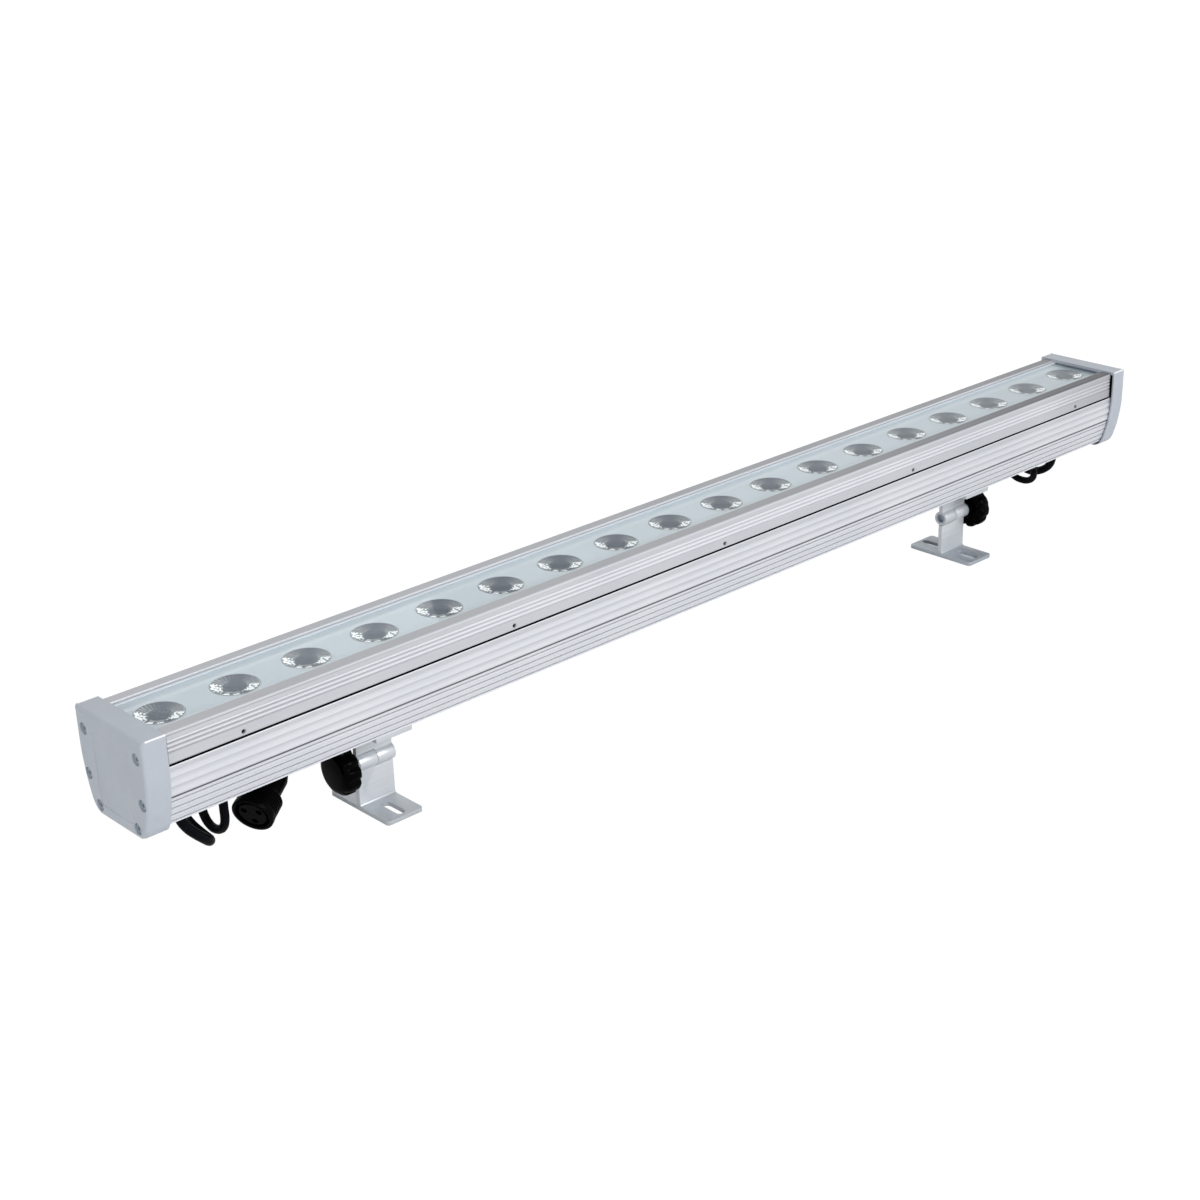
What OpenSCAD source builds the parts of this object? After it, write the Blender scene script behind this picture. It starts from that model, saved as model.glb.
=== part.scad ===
// LED wall washer bar: a finned aluminium extrusion with a row of lenses under glass,
// two cast end caps, two tilting feet with clamp knobs, and four short leads below.
// X runs along the bar, the front faces -Y, and Z is zero under the feet.

/* [Bar] */
// Overall length over both end caps
bar_length = 1000; // [900:10:1400]
// Width of the aluminium body
body_width = 71; // [70.5:0.5:76]
// Height of the finned heatsink below the rails
sink_height = 42; // [41:0.5:50]
// Height of the side rails that hold the glass
rail_height = 20.8; // [20.6:0.1:24]
// Thickness of the side of a rail
rail_side = 2.8; // [2:0.1:3]
// Thickness of the lip of a rail over the glass
rail_lip = 1.8; // [1.4:0.1:2.4]
// Width of a rail seen from above
rail_width = 10.1; // [8:0.1:12]
// Height of the seal between a rail and the heatsink
rail_seal_height = 1.6; // [1:0.1:2.4]

/* [Glass and lenses] */
// Thickness of the glass
glass_thickness = 3; // [2:0.1:3.6]
// Thickness of the soft lip over and under the glass
gasket_lip = 0.5; // [0.4:0.1:1]
// Width of the gasket lip that shows beside a rail
gasket_show = 2; // [1:0.1:3]
// Number of lenses, in three equal groups
lens_count = 18; // [12:3:18]
// Diameter of a lens
lens_diameter = 31.8; // [26:0.2:34]
// Thickness of the circuit boards
board_thickness = 1.6; // [1:0.1:2]

/* [End caps] */
// Length of an end cap along the bar
cap_length = 16.8; // [15:0.2:24]
// How far a cap stands out beside the body
cap_overhang = 2.9; // [2.7:0.1:4]
// Thickness of the skirt of a cap
cap_wall = 1.5; // [1.2:0.1:1.8]
// Thickness of the end wall of a cap
cap_plate = 5; // [4:0.2:7]
// Thickness of the seal inside a cap
cap_seal = 1.6; // [1:0.1:2.4]
// Rounding of the outer edges of a cap
cap_round = 3; // [1:0.2:4]
// Diameter of the hole over a cap screw
cap_screw_hole = 7; // [6:0.2:7.6]

/* [Brackets and feet] */
// Distance from an end of the bar to the middle of its bracket
bracket_inset = 190.5; // [185:0.5:200]
// Length of a bracket and its foot along the bar
bracket_length = 29.6; // [24:0.2:40]
// Width of the flange under the body
flange_width = 52; // [44:0.5:56]
// Thickness of the flange
flange_thickness = 4; // [3:0.1:5]
// Thickness of the upright webs
web_thickness = 3.7; // [3:0.1:4.5]
// Height of the hinge axis above the floor
hinge_height = 35; // [32:0.5:45]
// Height from the hinge axis to the underside of the body
hinge_drop = 27.8; // [26:0.2:40]
// Outer diameter of a hinge knuckle
knuckle_diameter = 12; // [11:0.2:14]
// Width of a foot plate
foot_width = 64; // [62:0.5:66]
// Thickness of a foot plate
foot_thickness = 3.2; // [2:0.1:5]
// Width of a mounting slot
slot_width = 6.5; // [5:0.1:8]
// Length of a mounting slot
slot_length = 21; // [12:0.5:22]
// Distance between the two mounting slots
slot_spacing = 37; // [35:0.5:42]

/* [Clamp knobs] */
// Diameter over the lobes of a knob
knob_diameter = 34.6; // [28:0.2:36]
// Length of the lobed rim
knob_rim = 13; // [9:0.2:15]
// Number of lobes
knob_lobes = 10; // [6:1:12]
// Diameter of the hub behind the rim
hub_diameter = 16; // [13:0.2:20]
// Length of the hub
hub_length = 4.1; // [3:0.1:6]
// Diameter of the clamp stud
stud_diameter = 6; // [5:0.1:6.4]
// Thickness of the clamp washer
washer_thickness = 1.4; // [1:0.1:2]

/* [Leads] */
// Distance from an end of the bar to a power gland
power_gland_inset = 40; // [38:0.5:42]
// Diameter of a power lead
power_cord = 7; // [6:0.1:7.4]
// Diameter of a signal lead
signal_cord = 6; // [5:0.1:6.6]
// Width of a gland nut over its points
gland_width = 14.6; // [13:0.2:17]
// Diameter of the collar of the open socket
collar_diameter = 28.8; // [27:0.2:29.4]
// Diameter of the body of the other connectors
plug_diameter = 18; // [16:0.2:19]

/* [Fits] */
// Radial gap of a pin that turns in its bore
running_gap = 0.05; // [0.02:0.01:0.1]
// Gap between pieces that are screwed or pushed together
seat_gap = 0.15; // [0.1:0.01:0.2]
// Gap between pieces that move past each other
moving_gap = 0.3; // [0.3:0.05:0.5]

/* [Hidden] */
$fn = 48;

// Overrun of every cut
over = 1;

// Heights of the body
base_z = hinge_height + hinge_drop;
sink_top = base_z + sink_height;
rail_bottom = sink_top + rail_seal_height;
rail_top = rail_bottom + rail_height;
lip_under = rail_top - rail_lip;
glass_top = lip_under - gasket_lip;
glass_bottom = glass_top - glass_thickness;
wall_top = glass_bottom - gasket_lip;

// Widths of the body, from its middle
body_half = body_width / 2;
wall_half = body_half - rail_side - seat_gap;
wall_thickness = 5.4;
chamber_half = wall_half - wall_thickness;
rail_inner = body_half - rail_width;
gasket_wall = 1.2;
gasket_half = wall_half;
glass_half = gasket_half - gasket_wall - seat_gap;

// Lengths of the body
cap_inner_x = bar_length / 2 - cap_length;
pocket_floor_x = bar_length / 2 - cap_plate;
body_end_x = pocket_floor_x - cap_seal;
rail_end_gap = 1.5;
rail_end_x = cap_inner_x - rail_end_gap;

// Ribs and fins on the outside of the heatsink
fin_depth = 1.2;
rib_depth = 0.9;
ridge_depth = 0.6;
fin_count = 4;
curve_steps = 6;
edge_shares = [
    [0, 0.75], [0.04, 0.79], [0.1, 0.828], [0.2, 0.866], [0.35, 0.92], [0.5, 0.955],
    [0.62, 0.98], [0.75, 1], [1, 1]
];
rib_shares = [0.538, 0.664, 0.807, 0.91];
fin_top_share = 0.514;
ridge_shares = [0.361, 0.495, 0.639, 0.76];

// Shelf under the LED boards and floor of the driver chamber
shelf_thickness = 3.8;
shelf_top = sink_top - board_thickness;
shelf_bottom = shelf_top - shelf_thickness;
floor_thickness = 5.2;
floor_z = base_z + floor_thickness;
chamber_slope_share = 0.45;
chamber_floor_share = 0.78;

// Screws that hold the caps
screw_bore_r = 1.5;
screw_r = screw_bore_r - running_gap;
screw_grip = 14;
cap_head_r = cap_screw_hole / 2 - seat_gap;
cap_head_h = 2.2;
cap_head_recess = 0.7;
upper_port_y = (wall_half + chamber_half) / 2;
upper_port_share = 0.4;
upper_port_z = rail_bottom + rail_height * upper_port_share;
side_port_inset = 4.9;
side_port_y = body_half - side_port_inset;
side_port_share = 0.51;
side_port_z = base_z + sink_height * side_port_share;
lower_port_share = 0.6085;
lower_port_y = body_half * lower_port_share;
lower_port_rise = 2.4;
lower_port_z = base_z + lower_port_rise;

// Screws through the rails
rail_screw_shares = [-0.8566, -0.4206, -0.0116, 0.423, 0.8632];
rail_screw_rise = 2.7;
rail_screw_z = rail_bottom + rail_screw_rise;
rail_screw_hole_r = 1.9;
rail_head_r = rail_screw_hole_r - seat_gap;
rail_head_h = 1.2;
rail_screw_r = 1.2;
rail_screw_reach = 3.6;

// Lenses, boards and tray
lens_margin = 8.6;
lens_pitch = (bar_length - 2 * lens_margin) / lens_count;
lens_r = lens_diameter / 2;
lens_gap = 0.4;
lens_top = glass_bottom - lens_gap;
board_top = shelf_top + board_thickness;
lens_rim = 2.2;
lens_base_r = 6.4;
lens_dish_r = 7.5;
lens_dish = 3.2;
lens_well_r = 4.4;
lens_well = 4;
lens_cone_share = 0.9;
lens_dish_share = 0.8;
group_count = lens_count / 3;
board_gap = 1;
board_half = 24;
tray_wall = 1.2;
tray_half = chamber_half - seat_gap;
tray_drop = 0.15;
tray_top = lens_top - tray_drop;
tray_hole_r = lens_r + seat_gap;
chip_side = 5;
chip_height = 0.9;
dome_r = 1.7;

// Driver in the lower chamber
driver_length = 300;
driver_width = 36;
driver_tray_wall = 1.5;
driver_tray_height = 8;
driver_rest = 4;
transformer_size = [34, 24, 14];
capacitor_r = 6;
capacitor_h = 14;
capacitor_count = 4;
capacitor_pitch = 20;
transformer_share = 0.2;
capacitor_share = 0.12;

// End cap outline: shares of its half width and of its height, from the top down
cap_half = body_half + cap_overhang;
cap_lift = 0.95;
cap_drop = 4.6;
cap_top = rail_top + cap_lift;
cap_bottom = base_z - cap_drop;
cap_height = cap_top - cap_bottom;
cap_shares = [
    [0.97, 1], [0.993, 0.994], [1, 0.978], [1, 0.8], [0.992, 0.565], [0.945, 0.379],
    [0.909, 0.279], [0.862, 0.193], [0.805, 0.1], [0.716, 0.034], [0.6, 0]
];
pocket_lift = 0.25;
pocket_top = lip_under + pocket_lift;
panel_half = 20;
panel_low_share = 0.12;
panel_high_share = 0.82;
panel_depth = 0.3;
seal_tongue_gap = 0.3;

// Brackets and feet
bracket_x = bar_length / 2 - bracket_inset;
knuckle_r = knuckle_diameter / 2;
seam = moving_gap;
knuckle_clear = 0.5;
stud_r = stud_diameter / 2;
bore_r = stud_r + running_gap;
insert_r = 4;
insert_wall_gap = running_gap;
fillet_r = 2;
fillet_steps = 5;
bracket_screw_r = 2.5;
bracket_screw_head_r = 4.2;
bracket_screw_head_h = 2.8;
bracket_screw_y = 17;
bracket_screw_grip = 4;
bracket_hole_gap = 0.2;
hex_r = 1.7;
hex_depth = 1.5;
plate_round = 2.4;

// Knobs
washer_x = bracket_length / 2 + moving_gap;
hub_x = washer_x + washer_thickness + moving_gap;
rim_x = hub_x + hub_length;
lobe_depth = 1.6;
lobe_steps = 8;
knob_edge = 2.2;
stud_start_x = 12.5;
stud_grip = 8;
// Domed front of a knob: shares of its radius and of its rim
knob_dome = [[1, 0.62], [0.965, 0.77], [0.86, 0.92], [0.66, 1]];

// Glands
gland_nut_h = 4;
gland_dome_h = 6;
gland_dome_share = 0.43;
gland_dome_r = gland_width * gland_dome_share;
gland_lip_share = 0.35;
gland_lip_r = gland_width * gland_lip_share;
gland_stub_r = 4.6;
gland_stub_h = 4;
gland_hole_r = gland_stub_r + seat_gap;
gland_bore_gap = 0.35;
gland_bore_rise = 4.2;
gland_mouth = base_z - gland_nut_h - gland_dome_h;
lead_top = gland_mouth + gland_bore_rise;
left_signal_inset = 74;
right_signal_inset = 76;
power_inset_step = 7;
left_signal_y = 2;

// Where each lead starts, at the floor of the bore of its gland
left_power_start = [power_gland_inset - bar_length / 2, 0, lead_top];
left_signal_start = [left_signal_inset - bar_length / 2, left_signal_y, lead_top];
right_signal_start = [bar_length / 2 - right_signal_inset, 0, lead_top];
right_power_start = [bar_length / 2 - power_gland_inset - power_inset_step, 0, lead_top];

// Routes of the leads, each from its own start to its connector
left_power_route = [
    [0, 0, 0], [0, 0, -5], [1, -1, -10], [4, -2, -16], [9, -3, -22], [15.1, -2.3, -28.1],
    [20.1, 0.8, -33], [23.5, 6, -35.8], [24.8, 12.2, -36.6], [24.4, 18.3, -35.4],
    [22.5, 24.5, -31.6], [20.1, 29.7, -24.1], [20, 33.9, -17.1], [24.1, 36.9, -10.1],
    [31, 38, -6], [41, 38, -5], [53, 38, -5]
];
left_signal_route = [
    [0, 0, 0], [0, 0, -8], [0, 0, -16], [0, 0, -23.1], [0, 2, -29], [-0.2, 6.5, -33.3],
    [-0.8, 12.5, -34.9], [-1, 18.6, -33.5], [-1, 23.3, -29.3], [-0.9, 25.4, -23.2],
    [0, 24.6, -15.1], [1.6, 24.5, -8.1], [6.1, 24.5, -2.6], [12.1, 24.4, -0.1],
    [22.2, 22.8, 0], [37.3, 16.4, 0], [52.3, 9.2, 0], [67, 0.7, 0.2], [75.5, 0.2, 0.6],
    [81.7, 4.1, 0.5], [84.7, 10.5, -0.3], [83.8, 17.4, -1.7], [79.1, 22.8, -3.6],
    [72.3, 24.7, -5.5], [66, 23, -7], [60, 20, -10]
];
right_signal_route = [
    [0, 0, 0], [0, 0, -5], [1, 0, -10], [3.1, 0.8, -16.1], [5.9, 3.9, -22], [7, 9, -25.8],
    [6.9, 15.1, -26.9], [5.1, 21.1, -25.2], [2.8, 25.5, -20.5], [-0.5, 26.9, -13.5],
    [-4.1, 25.7, -9.2], [-9.1, 23.3, -6.4], [-14, 20.5, -6], [-20, 19, -5], [-26, 19, -5]
];
right_power_route = [
    [0, 0, 0], [0, 0, -5], [1, 1, -10], [2, 4, -16], [2, 9, -21], [0, 15, -24],
    [-2, 21, -24.9], [-4, 27, -23], [-6.9, 31.9, -18.8], [-12, 36, -13], [-19, 38, -9],
    [-28, 38, -7], [-37, 38, -7], [-46, 38, -7], [-55, 38, -7]
];
cord_sides = 10;

// Open signal socket at the left end
socket_yaw = 28;
socket_pitch = 21;
collar_length = 17;
collar_bore_r = 11;
collar_r = collar_diameter / 2;
socket_body_r = 10.3;
socket_body_end = 34;
socket_tail_r = 5;
socket_length = 50;
socket_recess = 1.2;
contact_r = 1.6;
contact_ring = 5.2;
contact_length = 8;
grip_count = 12;
socket_way = [
    -cos(socket_pitch) * cos(socket_yaw),
    -cos(socket_pitch) * sin(socket_yaw),
    -sin(socket_pitch)
];

// Other connectors
plug_r = plug_diameter / 2;
plug_length = 42;
plug_tail = 12;
plug_tail_r = 5.6;
plug_face_r = 6.2;
nut_length = 14;
pin_r = 1;
pin_length = 8;
pin_ring = 3.4;
pin_count = 3;
nut_wall = 1.8;

// Ties round the leads
tie_width = 3.6;
tie_thickness = 1.2;
tie_slack = 0.9;
left_tie_run = 47;
right_tie_run = 51;
left_signal_part = [for (i = [0:16]) left_signal_route[i]];

// Right half mirrored into a closed outline, for points listed from the bottom up
function both_sides(half) = concat(
    half,
    [for (i = [len(half) - 1:-1:0]) [-half[i][0], half[i][1]]]
);

// Half ellipse bulge between two heights on a wall
function bulge(low, high, wall, depth) = [
    for (i = [0:curve_steps])
        let (angle = 180 * i / curve_steps)
        [
            wall - depth + depth * sin(angle),
            (low + high) / 2 - (high - low) / 2 * cos(angle)
        ]
];

// Half width of the heatsink at a share of its height
function sink_edge(share) = body_half * lookup(share, edge_shares);

// Smooth curve through points, with some steps between each two
function spline_point(a, b, c, d, t) =
    (2 * b + (c - a) * t + (2 * a - 5 * b + 4 * c - d) * pow(t, 2)
    + (3 * b - 3 * c + d - a) * pow(t, 3)) / 2;
function spline(points, steps) = [
    for (i = [0:len(points) - 2], k = [0:steps - 1])
        spline_point(
            points[max(i - 1, 0)], points[i], points[i + 1],
            points[min(i + 2, len(points) - 1)], k / steps
        ),
    points[len(points) - 1]
];

// Places along the bar
function lens_x(i) = (i - (lens_count - 1) / 2) * lens_pitch;
function group_x(group) = (group - 1) * group_count * lens_pitch;
function rail_screw_x(i) = rail_screw_shares[i] * bar_length / 2;

// Extrusion along the bar of an outline whose x is the width and y the height
module along_bar(length) {
    rotate([90, 0, 90]) linear_extrude(height = length, center = true) children();
}

// The same, from one place to another
module bar_run(from, to) {
    translate([(from + to) / 2, 0, 0]) along_bar(to - from) children();
}

// Round bar or hole along X
module rod_x(from, to, r, y, z) {
    translate([from, y, z]) rotate([0, 90, 0]) cylinder(h = to - from, r = r);
}

// Block from one corner to another
module block(low, high) {
    translate(low) cube(high - low);
}

// Copy on the left or the right end, with its outside towards +X before the turn
module on_end(side) {
    if (side > 0) children();
    else mirror([1, 0, 0]) children();
}

// Heatsink

module sink_outline() {
    fin_high = fin_top_share;
    fins = [
        for (i = [0:fin_count * curve_steps])
            let (share = fin_high * i / (fin_count * curve_steps))
            let (groove = pow(abs(cos(180 * (i / curve_steps + 1 / 2))), 4))
            let (cut = fin_depth * (1 - pow(1 - groove, 2)))
            [sink_edge(share) - cut, base_z + sink_height * share]
    ];
    groove_y = sink_edge(fin_high) - fin_depth;
    ribs = [
        for (i = [0:len(rib_shares) - 2])
            each bulge(
                base_z + sink_height * rib_shares[i],
                base_z + sink_height * rib_shares[i + 1],
                sink_edge((rib_shares[i] + rib_shares[i + 1]) / 2),
                rib_depth
            )
    ];
    groove = [
        [groove_y, base_z + sink_height * (fin_high + 0.004)],
        [groove_y, base_z + sink_height * (rib_shares[0] - 0.004)]
    ];
    top = [
        [body_half, base_z + sink_height * rib_shares[3]],
        [body_half, sink_top],
        [wall_half, sink_top],
        [wall_half, wall_top]
    ];
    polygon(both_sides(concat(fins, groove, ribs, top)));
}

module driver_chamber() {
    slope_z = floor_z + (shelf_bottom - floor_z) * chamber_slope_share;
    polygon(both_sides([
        [chamber_half * chamber_floor_share, floor_z],
        [chamber_half, slope_z],
        [chamber_half, shelf_bottom]
    ]));
}

module port_holes_2d() {
    for (y = [-1, 1]) {
        translate([y * upper_port_y, upper_port_z]) circle(r = screw_bore_r);
        translate([y * side_port_y, side_port_z]) circle(r = screw_bore_r);
        translate([y * lower_port_y, lower_port_z]) circle(r = screw_bore_r);
    }
}

module heatsink() color([0.78, 0.79, 0.8]) {
    difference() {
        along_bar(2 * body_end_x) difference() {
            sink_outline();
            driver_chamber();
            translate([-chamber_half, shelf_top])
                square([2 * chamber_half, wall_top - shelf_top + over]);
            port_holes_2d();
        }
        for (i = [0:len(rail_screw_shares) - 1], side = [-1, 1])
            translate([rail_screw_x(i), side * (wall_half + over), rail_screw_z])
                rotate([side * 90, 0, 0])
                cylinder(h = rail_screw_reach + over, r = rail_screw_r + running_gap);
        for (g = glands)
            translate([g[0], g[1], base_z - over])
                cylinder(h = floor_thickness + 2 * over, r = gland_hole_r);
        for (x = [-1, 1], y = [-1, 1])
            translate([x * bracket_x, y * bracket_screw_y, base_z - over])
                cylinder(
                    h = bracket_screw_grip + over + seat_gap,
                    r = bracket_screw_r + running_gap
                );
    }
}

// Rails

module rail_outline() {
    ridges = [
        for (i = [0:len(ridge_shares) - 2])
            each bulge(
                rail_bottom + rail_height * ridge_shares[i],
                rail_bottom + rail_height * ridge_shares[i + 1],
                body_half,
                ridge_depth
            )
    ];
    edge = rail_lip / 4;
    polygon(concat(
        [[body_half - rail_side, rail_bottom], [body_half, rail_bottom]],
        [[body_half, rail_bottom + rail_height * ridge_shares[0]]],
        ridges,
        [[body_half, rail_bottom + rail_height * ridge_shares[3]]],
        [[body_half, rail_top - edge], [body_half - edge, rail_top]],
        [[rail_inner, rail_top], [rail_inner, lip_under]],
        [[body_half - rail_side, lip_under]]
    ));
}

// Rail on the +Y side
module rail() color([0.74, 0.75, 0.77]) {
    difference() {
        along_bar(2 * rail_end_x) rail_outline();
        for (i = [0:len(rail_screw_shares) - 1])
            translate([rail_screw_x(i), body_half + over, rail_screw_z])
                rotate([90, 0, 0])
                cylinder(h = rail_side + 2 * over, r = rail_screw_hole_r);
    }
}

module back_rail() {
    rail();
}

module front_rail() {
    mirror([0, 1, 0]) rail();
}

module rail_seal() color([0.08, 0.08, 0.09]) {
    set_back = rail_side / 6;
    block(
        [-rail_end_x, wall_half + seat_gap, sink_top],
        [rail_end_x, body_half - set_back, rail_bottom]
    );
}

module back_rail_seal() {
    rail_seal();
}

module front_rail_seal() {
    mirror([0, 1, 0]) rail_seal();
}

// Screws on the +Y side, set below the face of the rail
module rail_screws() color([0.3, 0.3, 0.32]) {
    head_y = wall_half + rail_head_h;
    for (i = [0:len(rail_screw_shares) - 1])
        translate([rail_screw_x(i), head_y, rail_screw_z]) rotate([90, 0, 0]) difference() {
            union() {
                cylinder(h = rail_head_h, r = rail_head_r);
                cylinder(h = rail_head_h + rail_screw_reach - seat_gap, r = rail_screw_r);
            }
            translate([0, 0, -over])
                cylinder(h = over + rail_head_h / 2, r = rail_screw_r * 0.7, $fn = 6);
        }
}

module back_rail_screws() {
    rail_screws();
}

module front_rail_screws() {
    mirror([0, 1, 0]) rail_screws();
}

// Glass and its gasket

module glass_pane() color([0.75, 0.85, 0.87, 0.35]) {
    end_x = body_end_x - gasket_wall - 2 * seat_gap;
    block([-end_x, -glass_half, glass_bottom], [end_x, glass_half, glass_top]);
}

module glass_gasket() color([0.8, 0.82, 0.83]) {
    end_x = body_end_x - seat_gap;
    inner_x = end_x - gasket_wall;
    open_x = inner_x - gasket_wall;
    show_half = rail_inner - gasket_show;
    difference() {
        block([-end_x, -gasket_half, wall_top], [end_x, gasket_half, lip_under]);
        block(
            [-inner_x, gasket_wall - gasket_half, glass_bottom],
            [inner_x, gasket_half - gasket_wall, glass_top]
        );
        block([-open_x, -show_half, glass_bottom], [open_x, show_half, lip_under + over]);
        block(
            [-open_x, -chamber_half, wall_top - over],
            [open_x, chamber_half, glass_bottom + over]
        );
    }
}

// Lenses and LED boards

module lens(x) {
    translate([x, 0, board_top]) rotate_extrude() polygon([
        [lens_well_r, 0],
        [lens_base_r, 0],
        [lens_r * lens_cone_share, lens_top - board_top - lens_rim],
        [lens_r, lens_top - board_top - lens_rim],
        [lens_r, lens_top - board_top],
        [lens_dish_r, lens_top - board_top],
        [lens_dish_r * lens_dish_share, lens_top - board_top - lens_dish],
        [0, lens_top - board_top - lens_dish],
        [0, lens_well],
        [lens_well_r * lens_dish_share, lens_well]
    ]);
}

module lens_group(group) color([0.85, 0.9, 0.92, 0.6]) {
    for (i = [0:group_count - 1]) lens(lens_x(group * group_count + i));
}

module left_lenses() {
    lens_group(0);
}

module middle_lenses() {
    lens_group(1);
}

module right_lenses() {
    lens_group(2);
}

module lens_tray() color([0.85, 0.87, 0.88]) {
    end_x = body_end_x - tray_wall;
    difference() {
        block([-end_x, -tray_half, shelf_top], [end_x, tray_half, tray_top]);
        block(
            [-end_x - over, tray_wall - tray_half, shelf_top - over],
            [end_x + over, tray_half - tray_wall, tray_top - tray_wall]
        );
        for (i = [0:lens_count - 1])
            translate([lens_x(i), 0, tray_top - tray_wall - over])
                cylinder(h = tray_wall + 2 * over, r = tray_hole_r);
    }
}

module led_board(group) color([0.9, 0.9, 0.88]) {
    half = group_count * lens_pitch / 2 - board_gap / 2;
    translate([group_x(group), 0, 0])
        block([-half, -board_half, shelf_top], [half, board_half, board_top]);
}

module left_led_board() {
    led_board(0);
}

module middle_led_board() {
    led_board(1);
}

module right_led_board() {
    led_board(2);
}

module led_chips(group) color([0.95, 0.88, 0.5]) {
    for (i = [0:group_count - 1])
        translate([lens_x(group * group_count + i), 0, board_top]) {
            block([-chip_side / 2, -chip_side / 2, 0], [chip_side / 2, chip_side / 2, chip_height]);
            translate([0, 0, chip_height]) intersection() {
                sphere(r = dome_r);
                cylinder(h = dome_r, r = dome_r);
            }
        }
}

module left_led_chips() {
    led_chips(0);
}

module middle_led_chips() {
    led_chips(1);
}

module right_led_chips() {
    led_chips(2);
}

// Driver in the lower chamber

module driver_tray() color([0.2, 0.2, 0.22]) {
    half = driver_width / 2;
    low = floor_z;
    difference() {
        block(
            [-driver_length / 2, -half, low],
            [driver_length / 2, half, low + driver_tray_height]
        );
        block(
            [-driver_length / 2 - over, driver_rest - half, low + driver_tray_wall],
            [driver_length / 2 + over, half - driver_rest, low + driver_tray_height + over]
        );
        block(
            [-driver_length / 2 - over, driver_tray_wall - half, low + driver_tray_height / 2],
            [driver_length / 2 + over, half - driver_tray_wall, low + driver_tray_height + over]
        );
    }
}

driver_board_z = floor_z + driver_tray_height / 2;
driver_top = driver_board_z + board_thickness;

module driver_board() color([0.1, 0.35, 0.2]) {
    half = driver_width / 2 - driver_tray_wall - seat_gap;
    end_x = driver_length / 2 - driver_tray_wall;
    block([-end_x, -half, driver_board_z], [end_x, half, driver_top]);
}

module driver_transformer() color([0.75, 0.6, 0.2]) {
    x = -driver_length * transformer_share;
    translate([x - transformer_size[0] / 2, -transformer_size[1] / 2, driver_top])
        cube(transformer_size);
}

module driver_capacitors() color([0.1, 0.12, 0.3]) {
    for (i = [0:capacitor_count - 1])
        translate([driver_length * capacitor_share + i * capacitor_pitch, 0, driver_top])
            cylinder(h = capacitor_h, r = capacitor_r);
}

// End caps, drawn at the right end

// Right side of the outline, from the bottom up
function cap_side() = let (down = spline(cap_shares, 3)) [
    for (i = [len(down) - 1:-1:0])
        [cap_half * down[i][0], cap_bottom + cap_height * down[i][1]]
];

// Pocket side: the outline moved in by the skirt, within the pocket's heights
function pocket_side() = let (low = cap_bottom + cap_wall) let (side = cap_side()) concat(
    [for (p = side) if (p[1] > low && p[1] < pocket_top) [p[0] - cap_wall, p[1]]],
    [[cap_half - cap_wall, pocket_top]]
);

module cap_pocket_2d() {
    side = pocket_side();
    low = cap_bottom + cap_wall;
    polygon(both_sides(concat([[side[0][0] - cap_wall, low]], side)));
}

// Slice of the cap's outline, drawn in by an inset
module cap_slice(x, inset, depth) {
    middle_z = (cap_top + cap_bottom) / 2;
    scale_y = (cap_half - inset) / cap_half;
    scale_z = (cap_height / 2 - inset) / (cap_height / 2);
    outline = [
        for (p = both_sides(cap_side()))
            [p[0] * scale_y, middle_z + (p[1] - middle_z) * scale_z]
    ];
    bar_run(x - depth, x) polygon(outline);
}

module cap_body() {
    outer_x = bar_length / 2;
    slice = cap_round / 20;
    hull() {
        cap_slice(outer_x - cap_round, 0, cap_length - cap_round);
        for (angle = [30, 60, 90])
            cap_slice(
                outer_x - cap_round + cap_round * sin(angle),
                cap_round * (1 - cos(angle)),
                slice
            );
    }
}

// Places of the six cap screws, as width and height
cap_screw_places = [
    for (y = [-1, 1])
        each [
            [y * upper_port_y, upper_port_z],
            [y * side_port_y, side_port_z],
            [y * lower_port_y, lower_port_z]
        ]
];
head_top_x = bar_length / 2 - cap_head_recess;
head_seat_x = head_top_x - cap_head_h;

module end_cap() color([0.69, 0.72, 0.76]) {
    outer_x = bar_length / 2;
    difference() {
        cap_body();
        bar_run(cap_inner_x - over, pocket_floor_x) cap_pocket_2d();
        for (p = cap_screw_places) {
            rod_x(pocket_floor_x - over, outer_x + over, screw_bore_r + seat_gap, p[0], p[1]);
            rod_x(head_seat_x, outer_x + over, cap_screw_hole / 2, p[0], p[1]);
        }
        block(
            [outer_x - panel_depth, -panel_half, cap_bottom + cap_height * panel_low_share],
            [outer_x + over, panel_half, cap_bottom + cap_height * panel_high_share]
        );
    }
}

module right_end_cap() {
    on_end(1) end_cap();
}

module left_end_cap() {
    on_end(-1) end_cap();
}

module cap_seal_sheet() color([0.07, 0.07, 0.08]) {
    edge = seal_tongue_gap;
    tongue_low = rail_bottom + edge;
    tongue_half = cap_half - cap_wall - edge;
    difference() {
        union() {
            bar_run(body_end_x, pocket_floor_x) difference() {
                sink_outline();
                driver_chamber();
                translate([-chamber_half, shelf_top])
                    square([2 * chamber_half, wall_top - shelf_top + over]);
            }
            for (y = [-1, 1])
                translate([0, y * (wall_half + edge + tongue_half) / 2, 0]) block(
                    [
                        rail_end_x + rail_end_gap / 5,
                        -(tongue_half - wall_half - edge) / 2,
                        tongue_low
                    ],
                    [
                        pocket_floor_x,
                        (tongue_half - wall_half - edge) / 2,
                        lip_under - edge
                    ]
                );
            for (y = [-1, 1])
                translate([0, y * (wall_half + edge), 0]) block(
                    [body_end_x, -(body_half - wall_half) / 2, tongue_low],
                    [pocket_floor_x, (body_half - wall_half) / 2, wall_top]
                );
        }
        for (p = cap_screw_places)
            rod_x(body_end_x - over, pocket_floor_x + over, screw_bore_r + seat_gap, p[0], p[1]);
    }
}

module right_cap_seal() {
    on_end(1) cap_seal_sheet();
}

module left_cap_seal() {
    on_end(-1) cap_seal_sheet();
}

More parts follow.
